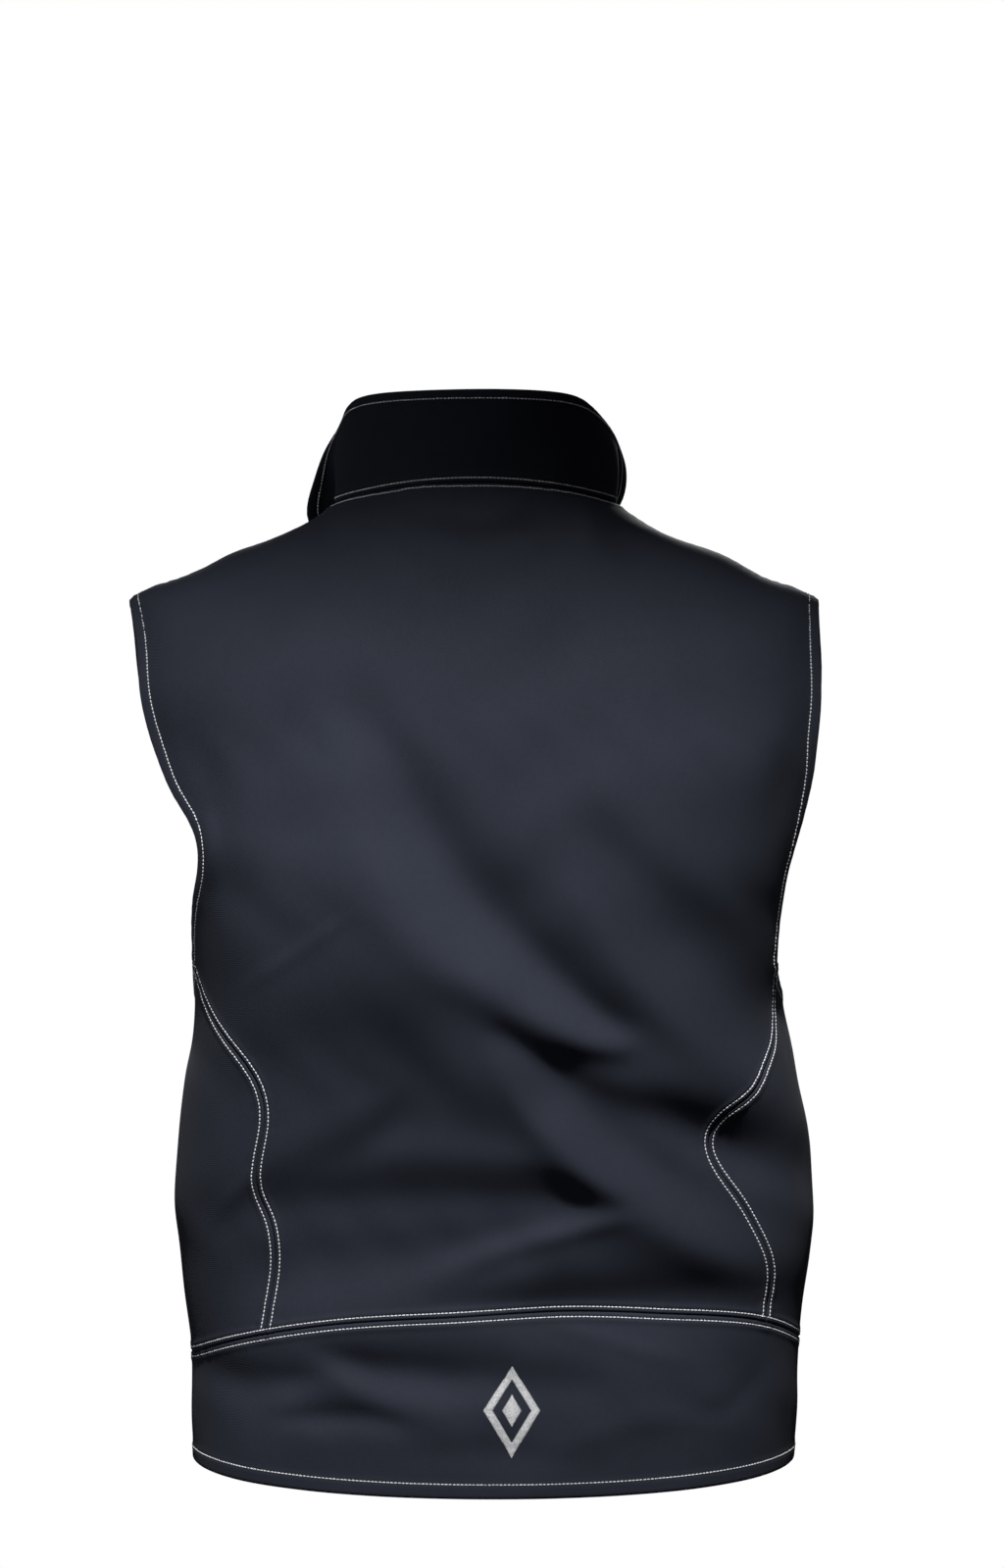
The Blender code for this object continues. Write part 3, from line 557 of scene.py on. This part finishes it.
# Edges of the pieces
band_all = edge(BAND_SEAM)
split_right, split_left = np.searchsorted(band_all[:, 0], (-57, 43))
band_right = evened(band_all[:split_right + 1], BAND_END_POINTS)
band_back = evened(band_all[split_right:split_left + 1], STRAIGHT_POINTS)
band_left = evened(band_all[split_left:], BAND_END_POINTS)
left = side_edges(
    "left", 1, BACK_SEAM_LEFT, ARMHOLE_BACK_LEFT, ARMHOLE_UNDER, band_left[-1, 1],
)
right = side_edges(
    "right", -1, BACK_SEAM_RIGHT, ARMHOLE_BACK_RIGHT, ((72.5, 345),) + ARMHOLE_UNDER[1:],
    band_right[0, 1],
)
hem_back = straight((-SIDE_SEAM, 0), (SIDE_SEAM, 0))
neck_back = straight((-90, NECK), (90, NECK))
neck_line = chain(right.neck, neck_back, left.neck)
hem_line = chain(right.hem, hem_back, left.hem)

# Relief beside each line: kind and (angle, metre) curve
seams = (left.seam, right.seam, band_all, left.shoulder, right.shoulder)
sides = (left.side_high, right.side_high, left.side_low, right.side_low)
LINES = [("seam", chain(curve)) for curve in seams]
LINES += [("neck", neck_line)]
LINES += [("plain", chain(curve)) for curve in sides]
LINES += [("armhole", left.armhole), ("armhole", right.armhole), ("hem", hem_line)]
LINES += [("front", left.front_line), ("front", right.front_line)]
line_points = [form(curve[:, 0], curve[:, 1]) for _, curve in LINES]
EDGE_ROWS = {"armhole": ARMHOLE_ROW, "hem": HEM_ROW, "front": FRONT_ROW}


def bump(value, centre, width):
    return np.exp(-((value - centre) / width) ** 2)


def layer(distance, height, end, steepness):
    """A layer of cloth that ends in a soft step at a distance from the line."""
    return height / (1 + np.exp((distance - end) * steepness))


def line_relief(kind, gap, along):
    """Height beside a seam or turned edge, in mm, from the distances in metres."""
    d = gap / MM
    s = along / MM
    uneven = np.sin(s / 1.45 + 1.8 * np.sin(s / 5.3) + 0.9 * np.sin(s / 13.7))
    uneven = uneven * (0.6 + 0.4 * np.sin(s / 21.0 + 1.3 * np.sin(s / 37.0)))
    if kind == "plain":
        groove = -0.9 * bump(d, 0, 1.0)
        return groove + 0.25 * bump(d, 3, 2) + 0.12 * uneven * bump(d, 4, 5)
    if kind in EDGE_ROWS:
        row = EDGE_ROWS[kind] / MM
        turned = layer(d, 0.75, row + 1.4, 1.9)
        rounded = -1.1 * bump(d, 0, 0.9)
        stitched = -0.55 * bump(d, row, 0.9)
        pucker = 0.2 * uneven * (bump(d, row + 1.5, 3.5) + 0.5 * bump(d, 1, 3))
        return turned + rounded + stitched + pucker
    row = (NECK_ROW if kind == "neck" else SEAM_ROW) / MM
    allowance = layer(d, 0.55, row + 3.2, 1.6)
    groove = -1.1 * bump(d, 0, 0.85)
    stitched = -0.5 * bump(d, row, 0.85)
    return allowance + groove + stitched + 0.24 * uneven * bump(d, row + 1.5, 4.5)


def relief(points):
    """Height of all seams and turned edges at points of the form, in metres."""
    height = np.zeros(points.shape[:-1])
    for (kind, _), line in zip(LINES, line_points):
        above = (points > line.min(0) - RELIEF_REACH).all(-1)
        inside = above & (points < line.max(0) + RELIEF_REACH).all(-1)
        if inside.any():
            gap, along = near_line(points[inside], line)
            height[inside] += line_relief(kind, gap, along) * MM
            if kind == "armhole":
                upper = np.clip((points[inside][:, 2] - FLARE_LOW) / FLARE_RISE, 0, 1)
                flare = ARMHOLE_FLARE * upper * np.clip(1 - gap / ARMHOLE_ROW, 0, 1)
                height[inside] += flare
    return height


def worn(angle, up, lift=0.0):
    """Points of the finished cloth, and its normals."""
    points = form(angle, up)
    _, _, normal = form_slopes(angle, up)
    height = fold_height(points) + slow_waves(points) + relief(points) + lift
    return points + normal * height[..., None], normal


collar_table = np.array(COLLAR[::-1], float)
collar_at = natural_spline(collar_table[:, 0], collar_table[:, 1:] * MM)
left_end = left.front[1][-1, 0]
right_end = right.front[1][-1, 0]


def collar_base(angle, rise):
    """Points of the smooth open collar; rise is 0 at the neck seam and 1 at the top edge."""
    angle, rise = np.broadcast_arrays(np.asarray(angle, float), np.asarray(rise, float))
    base = form(angle, NECK)
    shape = collar_at(angle)
    outward = base - np.array(COLLAR_CENTRE)
    outward[..., 2] = 0
    middle = base + unit(outward) * shape[..., 3:4]
    middle[..., 2] += shape[..., 4]
    t = rise[..., None]
    return (1 - t) ** 2 * base + 2 * t * (1 - t) * middle + t ** 2 * shape[..., :3]


def collar_normal(angle, rise):
    rise = np.clip(rise, 0.01, 0.99)
    around = collar_base(angle + 0.3, rise) - collar_base(angle - 0.3, rise)
    upward = collar_base(angle, rise + 0.01) - collar_base(angle, rise - 0.01)
    return unit(np.cross(upward, around))


# Lines on the collar: neck seam, top edge and the two front ends
collar_angles = np.linspace(right_end, left_end, COLLAR_POINTS)
end_rises = np.linspace(0, 1, COLLAR_END_POINTS)
collar_lines = (
    ("neck", collar_base(collar_angles, 0.0)),
    ("collar_edge", collar_base(collar_angles, 1.0)),
    ("collar_edge", collar_base(left_end, end_rises)),
    ("collar_edge", collar_base(right_end, end_rises)),
)
EDGE_ROWS["collar_edge"] = COLLAR_EDGE_ROW


def collar(angle, rise, lift=0.0):
    """Points of the finished collar, and its normals."""
    points = collar_base(angle, rise)
    normal = collar_normal(angle, rise)
    height = slow_waves(points) * COLLAR_WAVES + lift
    for kind, line in collar_lines:
        height = height + line_relief(kind, *near_line(points, line)) * MM
    return points + normal * height[..., None], normal


# Materials


def new_material(name, colour, roughness, metallic=0.0, specular=0.5, sheen=0.0):
    """A Principled material whose even values are set on the shader's own sockets."""
    material = bpy.data.materials.new(name)
    material.use_nodes = True
    shader = material.node_tree.nodes["Principled BSDF"]
    shader.inputs["Base Color"].default_value = (*colour, 1)
    shader.inputs["Roughness"].default_value = roughness
    shader.inputs["Metallic"].default_value = metallic
    shader.inputs["Specular IOR Level"].default_value = specular
    shader.inputs["Sheen Weight"].default_value = sheen
    shader.inputs["Sheen Roughness"].default_value = 0.45
    return material, shader


def node(owner, kind, **inputs):
    """A new node of a material or world, with the values of its inputs by name."""
    made = owner.node_tree.nodes.new(kind)
    for name, value in inputs.items():
        made.inputs[name.replace("_", " ")].default_value = value
    return made


def ramp_from(material, source, start, low, end, high):
    """A texture's values turned into colours, from low at the start to high at the end."""
    ramp = node(material, "ShaderNodeValToRGB")
    stops = ramp.color_ramp.elements
    for stop, position, colour in ((stops[0], start, low), (stops[1], end, high)):
        stop.position = position
        stop.color = (*colour, 1)
    material.node_tree.links.new(source, ramp.inputs["Fac"])
    return ramp.outputs["Color"]


def cloth_material(name, dark, light, roughness):
    """A fine matt twill: diagonal ribs, a slow change of shade and a little fuzz."""
    material, shader = new_material(name, light, roughness, specular=0.16, sheen=0.03)
    links = material.node_tree.links
    place = node(material, "ShaderNodeTexCoord")
    ribs = node(
        material, "ShaderNodeTexWave", Scale=430.0, Distortion=1.2, Detail=1.0, Detail_Scale=1.4,
    )
    ribs.bands_direction = "DIAGONAL"
    yarn = node(material, "ShaderNodeTexNoise", Scale=1500.0, Detail=2.0, Roughness=0.6)
    shade = node(material, "ShaderNodeTexNoise", Scale=9.0, Detail=4.0, Roughness=0.55)
    mottle = node(material, "ShaderNodeTexNoise", Scale=260.0, Detail=3.0, Roughness=0.65)
    for texture in (ribs, yarn, shade, mottle):
        links.new(place.outputs["Object"], texture.inputs["Vector"])
    mixed = node(material, "ShaderNodeMath")
    mixed.operation = "MULTIPLY_ADD"
    mixed.inputs[1].default_value = 0.45
    links.new(mottle.outputs["Fac"], mixed.inputs[0])
    links.new(shade.outputs["Fac"], mixed.inputs[2])
    shades = ramp_from(material, mixed.outputs[0], 0.45, dark, 0.95, light)
    links.new(shades, shader.inputs["Base Color"])
    weave = node(material, "ShaderNodeBump", Strength=0.22, Distance=0.00025)
    fuzz = node(material, "ShaderNodeBump", Strength=0.25, Distance=0.0002)
    links.new(ribs.outputs["Fac"], weave.inputs["Height"])
    links.new(yarn.outputs["Fac"], fuzz.inputs["Height"])
    links.new(weave.outputs["Normal"], fuzz.inputs["Normal"])
    links.new(fuzz.outputs["Normal"], shader.inputs["Normal"])
    return material


def grained(material, shader, socket, scale, detail, roughness, stops, strength):
    """A noise that varies one input of the shader between two stops and raises a low bump."""
    links = material.node_tree.links
    place = node(material, "ShaderNodeTexCoord")
    grain = node(
        material, "ShaderNodeTexNoise", Scale=scale, Detail=detail, Roughness=roughness,
    )
    links.new(place.outputs["Object"], grain.inputs["Vector"])
    links.new(ramp_from(material, grain.outputs["Fac"], *stops), shader.inputs[socket])
    low_bump = node(material, "ShaderNodeBump", Strength=strength, Distance=0.0002)
    links.new(grain.outputs["Fac"], low_bump.inputs["Height"])
    links.new(low_bump.outputs["Normal"], shader.inputs["Normal"])
    return material


def thread_material(name, dark, light):
    """Twisted thread with a soft gloss."""
    made = new_material(name, light, 0.5, specular=0.45, sheen=0.1)
    return grained(*made, "Base Color", 900.0, 2.0, 0.5, (0.3, dark, 0.6, light), 0.4)


def metal_material(name, colour, roughness):
    """Lacquered metal with a fine grain and lighter worn patches."""
    stops = (0.35, (roughness - 0.08,) * 3, 0.7, (roughness + 0.12,) * 3)
    made = new_material(name, colour, roughness, metallic=0.9)
    return grained(*made, "Roughness", 700.0, 4.0, 0.6, stops, 0.15)


shell_cloth = cloth_material(
    "shell_cloth", (0.0172, 0.0208, 0.0320), (0.0230, 0.0275, 0.0415), 0.82,
)
# The collar's cloth is the shell cloth made darker: painted shade for the shade that falls on the
# collar
collar_cloth = cloth_material(
    "collar_cloth", (0.0115, 0.0135, 0.0205), (0.0155, 0.0180, 0.0270), 0.82,
)
tape_cloth = cloth_material("zip_tape", (0.010, 0.010, 0.012), (0.016, 0.016, 0.018), 0.8)
thread = thread_material("white_thread", (0.48, 0.49, 0.52), (0.80, 0.81, 0.84))
zip_metal = metal_material("zip_metal", (0.05, 0.05, 0.055), 0.34)


# Cloth pieces


def nudge_in(points, gap):
    """Moves the border of a grid of points towards its inside."""
    moved = points.copy()
    for outer, inner in ((0, 1), (-1, -2)):
        for axis in (0, 1):
            step = np.take(points, inner, axis) - np.take(points, outer, axis)
            moved[(slice(None),) * axis + (outer,)] += unit(step) * gap
    return moved


def mesh_from_grid(name, points):
    rows, columns = points.shape[:2]
    index = np.arange(rows * columns).reshape(rows, columns)
    faces = np.stack([index[:-1, :-1], index[1:, :-1], index[1:, 1:], index[:-1, 1:]], -1)
    mesh = bpy.data.meshes.new(name)
    mesh.from_pydata(points.reshape(-1, 3).tolist(), [], faces.reshape(-1, 4).tolist())
    mesh.shade_smooth()
    return mesh


def add_piece(name, mesh, material):
    piece = bpy.data.objects.new(name, mesh)
    piece.data.materials.clear()
    piece.data.materials.append(material)
    bpy.context.scene.collection.objects.link(piece)
    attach(piece, BODY)
    return piece


def thicken(piece, thickness):
    """Gives a sheet its thickness, inwards."""
    solid = piece.modifiers.new("wall", "SOLIDIFY")
    solid.thickness = thickness
    solid.offset = -1


def cloth_piece(name, points, material, replaced, thickness=CLOTH_THICKNESS):
    """A fine sheet thickened inwards that stands for a CAD node."""
    mesh = mesh_from_grid(name, nudge_in(points, PIECE_INSET))
    piece = add_piece(name, mesh, material)
    thicken(piece, thickness)
    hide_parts(replaced)
    return piece


def beside_zip(own):
    """The edge beside the zip, cut into curves that answer the outer curves of a front."""
    line = evened(own.front_line, 3 * STRAIGHT_POINTS)
    lengths = np.array([travelled(curve)[-1] for curve in own.outer])
    cuts = np.concatenate([[0], np.cumsum(lengths)]) / lengths.sum()
    return tuple(
        at_shares(line, np.linspace(a, b, STRAIGHT_POINTS)) for a, b in zip(cuts[:-1], cuts[1:])
    )


grids = {
    "back_panel": patch(
        (right.seam, right.arm_back, right.shoulder), (left.seam, left.arm_back, left.shoulder),
        band_back, neck_back,
    ),
    "side_panel_left": patch((left.seam,), (left.side_high,), band_left, left.arm_under),
    "side_panel_right": patch(
        (right.side_high,), (right.seam,), band_right, right.arm_under[::-1],
    ),
    "hem_band": patch((right.side_low,), (left.side_low,), hem_back, band_all),
    "front_left": patch(left.outer, beside_zip(left), left.hem, left.neck),
    "front_right": patch(beside_zip(right), right.outer, right.hem, right.neck),
}
panels = {}
for panel_name, grid in grids.items():
    finished, _ = worn(grid[..., 0], grid[..., 1])
    panels[panel_name] = cloth_piece(
        panel_name + "_cloth", finished, shell_cloth, panel_name,
    )

rises = spread(COLLAR_HEIGHT, True, True, COLLAR_RINGS)
collar_span = run(collar_base(collar_angles, 0.5))[-1]
collar_shares = spread(collar_span, True, True, COLLAR_COLUMNS)
collar_columns = right_end + (left_end - right_end) * collar_shares
finished, _ = collar(*np.broadcast_arrays(collar_columns[None, :], rises[:, None]))
panels["collar"] = cloth_piece(
    "collar_cloth_piece", finished, collar_cloth, "collar",
)

# Tapes inside the seams: a binding at the neck and the pressed allowances of the others
inner_lift = -CLOTH_THICKNESS - BINDING_GAP
rows = {panel_name: [] for panel_name in panels}


def inner_tape(panel_name, name, points, outward):
    """A thin tape on the inside of a seam, which closes the view through its gap."""
    facing = np.cross(points[1, 0] - points[0, 0], points[0, 1] - points[0, 0])
    if facing @ outward[0, 0] < 0:
        points = points[:, ::-1]
    piece = add_piece(name, mesh_from_grid(name, points), shell_cloth)
    thicken(piece, BINDING_THICKNESS)
    rows[panel_name].append(piece)


def allowance(panel_name, seam_name, line):
    """The pressed allowances of a seam, as one tape of a panel."""
    line = evened(line, int(travelled(line)[-1] / GRID_STEP))
    line = trimmed(line, BINDING_END, BINDING_END)
    strip = np.stack([offset(line, reach * MM) for reach in (-6, -3, 0, 3, 6)])
    laid = worn(strip[..., 0], strip[..., 1], inner_lift)
    inner_tape(panel_name, "allowance_" + seam_name, *laid)


tape_angles = np.linspace(right_end + 1, left_end - 1, COLLAR_POINTS)
neck_tape = [worn(tape_angles, NECK - down * MM, inner_lift) for down in (7, 4.5, 2)]
neck_tape += [collar(tape_angles, up * MM / COLLAR_HEIGHT, inner_lift) for up in (2, 4.5, 7)]
inner_tape("collar", "neck_binding", *(np.stack(values) for values in zip(*neck_tape)))
for own in (left, right):
    allowance("back_panel", "seam_" + own.tag, own.seam)
    allowance("back_panel", "shoulder_" + own.tag, own.shoulder)
    allowance("front_" + own.tag, "side_" + own.tag, chain(own.side_low, own.side_high))
allowance("hem_band", "band", band_all)

# Zip tapes, up the fronts and along the collar's front ends
for own in (left, right):
    inner_line = chain(*own.zip)
    outer_line = evened(own.front_line, len(inner_line))
    shares = np.linspace(0, 1, TAPE_COLUMNS)[None, :, None]
    strip = outer_line[:, None] * (1 - shares) + inner_line[:, None] * shares
    low_part = form(strip[..., 0], strip[..., 1])
    low_normal = form_slopes(strip[..., 0], strip[..., 1])[2]
    low_height = fold_height(low_part) + slow_waves(low_part)
    high_angles, high_rises = np.broadcast_arrays(strip[-1, :, 0], end_rises[1:, None])
    high_part = collar_base(high_angles, high_rises)
    high_normal = collar_normal(high_angles, high_rises)
    high_height = slow_waves(high_part) * COLLAR_WAVES
    low_part = low_part + low_normal * (low_height - TAPE_SINK)[..., None]
    high_part = high_part + high_normal * (high_height - TAPE_SINK)[..., None]
    points = np.concatenate([low_part, high_part])
    own.tape = points[:, ::own.side]
    tape_name = "zip_tape_" + own.tag
    cloth_piece(
        tape_name + "_cloth", own.tape, tape_cloth, tape_name, TAPE_THICKNESS,
    )


# Stitches


def copies(name, template, faces, places, ahead, outward, size, material, slot="shell_cloth"):
    """One mesh of small copies of a template, each turned to its place; one size or one each."""
    across = unit(np.cross(outward, ahead))
    ahead = unit(ahead)
    axes = np.stack([ahead, across, np.cross(ahead, across)], 1)
    points = template * np.reshape(size, (-1, 1, 3)) @ axes + places[:, None]
    count, size_each = points.shape[:2]
    shift = (np.arange(count) * size_each)[:, None]
    all_faces = []
    for face in faces:
        all_faces.extend((shift + np.array(face)[None]).tolist())
    mesh = bpy.data.meshes.new(name)
    mesh.from_pydata(points.reshape(-1, 3).tolist(), [], all_faces)
    mesh.shade_smooth()
    return add_piece(name, mesh, material)


def bead_template(sides, rings):
    """A rounded bar along X of unit length and radius, its ends sunk below its middle."""
    turns = np.linspace(0, 2 * np.pi, sides, endpoint=False)
    points = []
    for x, radius, sink in rings:
        y, z = np.cos(turns) * radius, np.sin(turns) * radius - sink
        points.append(np.stack([np.full(sides, x), y, z], -1))
    faces = []
    last = (len(rings) - 1) * sides
    for base in range(0, last, sides):
        for k in range(sides):
            after = base + (k + 1) % sides
            faces.append((base + k, after, after + sides, base + sides + k))
    faces.append(tuple(range(sides - 1, -1, -1)))
    faces.append(tuple(range(last, last + sides)))
    return np.concatenate(points), faces


STITCH = bead_template(6, (
    (-0.5, 0.35, 0.75), (-0.38, 0.85, 0.3), (0, 1.0, 0), (0.38, 0.85, 0.3), (0.5, 0.35, 0.75),
))


def stitch_row(name, points, normals):
    """A row of stitches along a line of surface points."""
    lengths = run(points)
    count = max(1, int(lengths[-1] / STITCH_PITCH))
    middles = (np.arange(count) + 0.5) * lengths[-1] / count
    half = STITCH_LENGTH / 2
    ahead = picked(points, middles + half, lengths) - picked(points, middles - half, lengths)
    outward = picked(normals, middles, lengths)
    places = picked(points, middles, lengths) + outward * STITCH_LIFT
    size = (STITCH_LENGTH, STITCH_RADIUS, STITCH_RADIUS)
    return copies(name, *STITCH, places, ahead, outward, size, thread)


def body_row(panel_name, name, curve):
    """A stitch row along a curve on the worn cloth, as part of a panel."""
    curve = evened(curve, max(4, int(travelled(curve)[-1] / ROW_STEP)))
    rows[panel_name].append(stitch_row(name, *worn(curve[:, 0], curve[:, 1])))


for own in (left, right):
    tag, side, front = own.tag, own.side, "front_" + own.tag
    inner_seam = trimmed(offset(own.seam, -side * SEAM_ROW), SEAM_ROW, ARMHOLE_ROW)
    outer_seam = trimmed(offset(own.seam, side * SEAM_ROW), SEAM_ROW, ARMHOLE_ROW)
    shoulder = trimmed(own.shoulder, ARMHOLE_ROW, NECK_ROW)
    front_row = trimmed(offset(own.front_line, -side * FRONT_ROW), HEM_ROW, NECK_ROW)
    body_row("back_panel", "stitch_seam_in_" + tag, inner_seam)
    body_row("side_panel_" + tag, "stitch_seam_out_" + tag, outer_seam)
    body_row("back_panel", "stitch_armhole_" + tag, offset(own.armhole, side * ARMHOLE_ROW))
    body_row("back_panel", "stitch_shoulder_back_" + tag, offset(shoulder, -side * SEAM_ROW))
    body_row(front, "stitch_shoulder_front_" + tag, offset(shoulder, side * SEAM_ROW))
    body_row(front, "stitch_front_" + tag, front_row)
body_row("hem_band", "stitch_band_low", offset(band_all, SEAM_ROW))
body_row("back_panel", "stitch_band_high", offset(band_all, -SEAM_ROW))
body_row("hem_band", "stitch_hem", trimmed(offset(hem_line, -HEM_ROW), FRONT_ROW, FRONT_ROW))
body_row("back_panel", "stitch_neck_low", offset(neck_line, NECK_ROW))


def collar_row(name, angles, rises_at):
    """A stitch row along a line on the collar."""
    rows["collar"].append(stitch_row(name, *collar(angles, rises_at)))


fine_angles = np.linspace(right_end, left_end, COLLAR_ROW_POINTS)
collar_heights = np.array([
    run(collar_base(angle, np.linspace(0, 1, 20)))[-1] for angle in fine_angles
])
end_degree = COLLAR_EDGE_ROW / np.linalg.norm(form(151, NECK) - form(150, NECK))
collar_row("stitch_neck_high", fine_angles, NECK_ROW / collar_heights)
top_angles = np.linspace(right_end + end_degree, left_end - end_degree, COLLAR_ROW_POINTS)
top_rises = 1 - COLLAR_EDGE_ROW / np.interp(top_angles, fine_angles, collar_heights)
collar_row("stitch_collar_top", top_angles, top_rises)
for tag, end_angle, own_height in (
    ("left", left_end - end_degree, collar_heights[-1]),
    ("right", right_end + end_degree, collar_heights[0]),
):
    row_rises = np.linspace(NECK_ROW / own_height, 1 - COLLAR_EDGE_ROW / own_height, 80)
    collar_row("stitch_collar_end_" + tag, end_angle, row_rises)

# A plain embroidered lozenge on the hem band: satin rows across a frame and its centre
motif_places = []
motif_sizes = []
for height in np.arange(-MOTIF_HALF_HEIGHT, MOTIF_HALF_HEIGHT, MOTIF_PITCH):
    share = 1 - abs(height) / MOTIF_HALF_HEIGHT
    outer = MOTIF_HALF_WIDTH * share
    inner = max(0.0, outer - MOTIF_FRAME)
    centre = MOTIF_HALF_WIDTH * (share - 1 + MOTIF_CENTRE)
    spans = [(-outer, -inner), (inner, outer)] if inner > 0 else [(-outer, outer)]
    if centre > 0:
        spans.append((-centre, centre))
    for start, end in spans:
        motif_places.append(((start + end) / 2, height))
        motif_sizes.append((end - start + MOTIF_PITCH, SATIN_RADIUS, SATIN_RADIUS))
metre_per_degree = np.linalg.norm(form(MOTIF_ANGLE + 1, MOTIF_UP) - form(MOTIF_ANGLE, MOTIF_UP))
satin_across, satin_ups = np.array(motif_places).T
satin_angles = MOTIF_ANGLE + satin_across / metre_per_degree
satin_ups = MOTIF_UP + satin_ups
satin_points, satin_normals = worn(satin_angles, satin_ups)
satin_points += satin_normals * SATIN_LIFT
satin_ahead = worn(satin_angles + 0.5, satin_ups)[0] - worn(satin_angles - 0.5, satin_ups)[0]
rows["hem_band"].append(copies(
    "lozenge", *STITCH, satin_points, satin_ahead, satin_normals, motif_sizes, thread,
))

# Zip teeth along the inner edge of each tape
TOOTH = bead_template(8, ((-0.5, 0.72, 0), (-0.34, 1.0, 0), (0.34, 1.0, 0), (0.5, 0.72, 0)))
for own in (left, right):
    line, beside_line = own.tape[:, ::-own.side][:, :2].swapaxes(0, 1)
    lengths = run(line)
    count = int(lengths[-1] / TOOTH_PITCH)
    shift = 0.75 if own.side > 0 else 0.25
    places = (np.arange(count) + shift) * lengths[-1] / (count + 1)
    teeth = picked(line, places, lengths)
    sideways = picked(beside_line - line, places, lengths)
    outward = unit(np.cross(sideways, np.gradient(teeth, axis=0)) * own.side)
    sideways = unit(sideways)
    teeth = teeth + sideways * TOOTH_INWARD + outward * TOOTH_LIFT
    copies(
        "zip_teeth_" + own.tag, *TOOTH, teeth, sideways, outward, TOOTH_SIZE, zip_metal,
        "zip_metal",
    )

for metal_node in ("zip_slider", "zip_pull_tab"):
    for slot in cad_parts[metal_node].material_slots:
        slot.material = zip_metal

# Floor, light and camera
floor_mesh = bpy.data.meshes.new("floor")
floor_corners = [
    (x * FLOOR_HALF, y * FLOOR_HALF, 0) for x, y in ((-1, -1), (1, -1), (1, 1), (-1, 1))
]
floor_mesh.from_pydata(floor_corners, [], [(0, 1, 2, 3)])
floor = bpy.data.objects.new("floor", floor_mesh)
floor.location = (0, 0, FLOOR_LEVEL)
floor_material, _ = new_material("floor_grey", (0.2, 0.2, 0.2), 0.8)
floor.data.materials.append(floor_material)
bpy.context.scene.collection.objects.link(floor)


def hang(lamp, place, aim, width=1):
    """Puts a lamp at its place, turned to what it lights."""
    holder = bpy.data.objects.new(lamp.name, lamp)
    holder.location = place
    holder.rotation_euler = (Vector(aim) - Vector(place)).to_track_quat("-Z", "Y").to_euler()
    holder.scale = (width, 1, 1)
    bpy.context.scene.collection.objects.link(holder)


def area_light(name, place, aim, size, power, colour=(1, 1, 1)):
    """A round soft light."""
    lamp = bpy.data.lights.new(name, "AREA")
    lamp.shape = "DISK"
    lamp.size = size
    lamp.energy = power
    lamp.color = colour
    hang(lamp, place, aim)


def spot_light(name, place, aim, spread, blend, size, power, width):
    """A soft spot whose pool of light is so many times as wide as it is high."""
    lamp = bpy.data.lights.new(name, "SPOT")
    lamp.spot_size = math.radians(spread)
    lamp.spot_blend = blend
    lamp.shadow_soft_size = size
    lamp.energy = power
    lamp.color = WARM_WHITE
    hang(lamp, place, aim, width)


spot_light("key", (0.0, 1.22, 1.5), (0.0, 0.12, -0.375), 12, 0.8, 0.09, 315, 4)
spot_light("left_key", (0.75, 1.1, 1.1), (0.26, 0.05, -0.09), 13, 1.0, 0.12, 56, 1)
spot_light("right_key", (-0.75, 1.1, 1.1), (-0.26, 0.05, -0.1), 12, 1.0, 0.12, 30, 1)
area_light("soft_key", (0.05, 1.3, 1.6), (0, 0.1, -0.3), 0.5, 1.0, WARM_WHITE)
area_light("fill", (1.2, 2.6, -0.6), (0, 0.1, -0.35), 1.4, 0.7, SKY)
area_light("collar_fill", (1.9, 1.3, 0.45), (0.06, 0, 0.02), 0.4, 6)
area_light("front_key", (-0.3, -2.7, 0.7), (0, -0.1, -0.3), 0.8, 40)

# A dim sky that lights the cloth, behind which the camera sees plain white
world = bpy.data.worlds.new("studio")
bpy.context.scene.world = world
world.use_nodes = True
world.node_tree.nodes.clear()
output = node(world, "ShaderNodeOutputWorld")
seen = node(world, "ShaderNodeBackground", Color=(1, 1, 1, 1), Strength=1.0)
dim = node(world, "ShaderNodeBackground", Color=(*SKY, 1), Strength=SKY_STRENGTH)
choose = node(world, "ShaderNodeMixShader")
ray = node(world, "ShaderNodeLightPath")
links = world.node_tree.links
links.new(ray.outputs["Is Camera Ray"], choose.inputs["Fac"])
links.new(dim.outputs["Background"], choose.inputs[1])
links.new(seen.outputs["Background"], choose.inputs[2])
links.new(choose.outputs["Shader"], output.inputs["Surface"])

lens = bpy.data.cameras.new("camera")
lens.lens = CAMERA_LENS
lens.sensor_width = 36
lens.sensor_fit = "AUTO"
camera = bpy.data.objects.new("camera", lens)
camera.location = CAMERA_PLACE
camera.rotation_euler = (math.radians(90), 0, math.radians(180))
bpy.context.scene.collection.objects.link(camera)
bpy.context.scene.camera = camera
bpy.context.scene.view_settings.view_transform = "Standard"

bpy.context.view_layer.update()
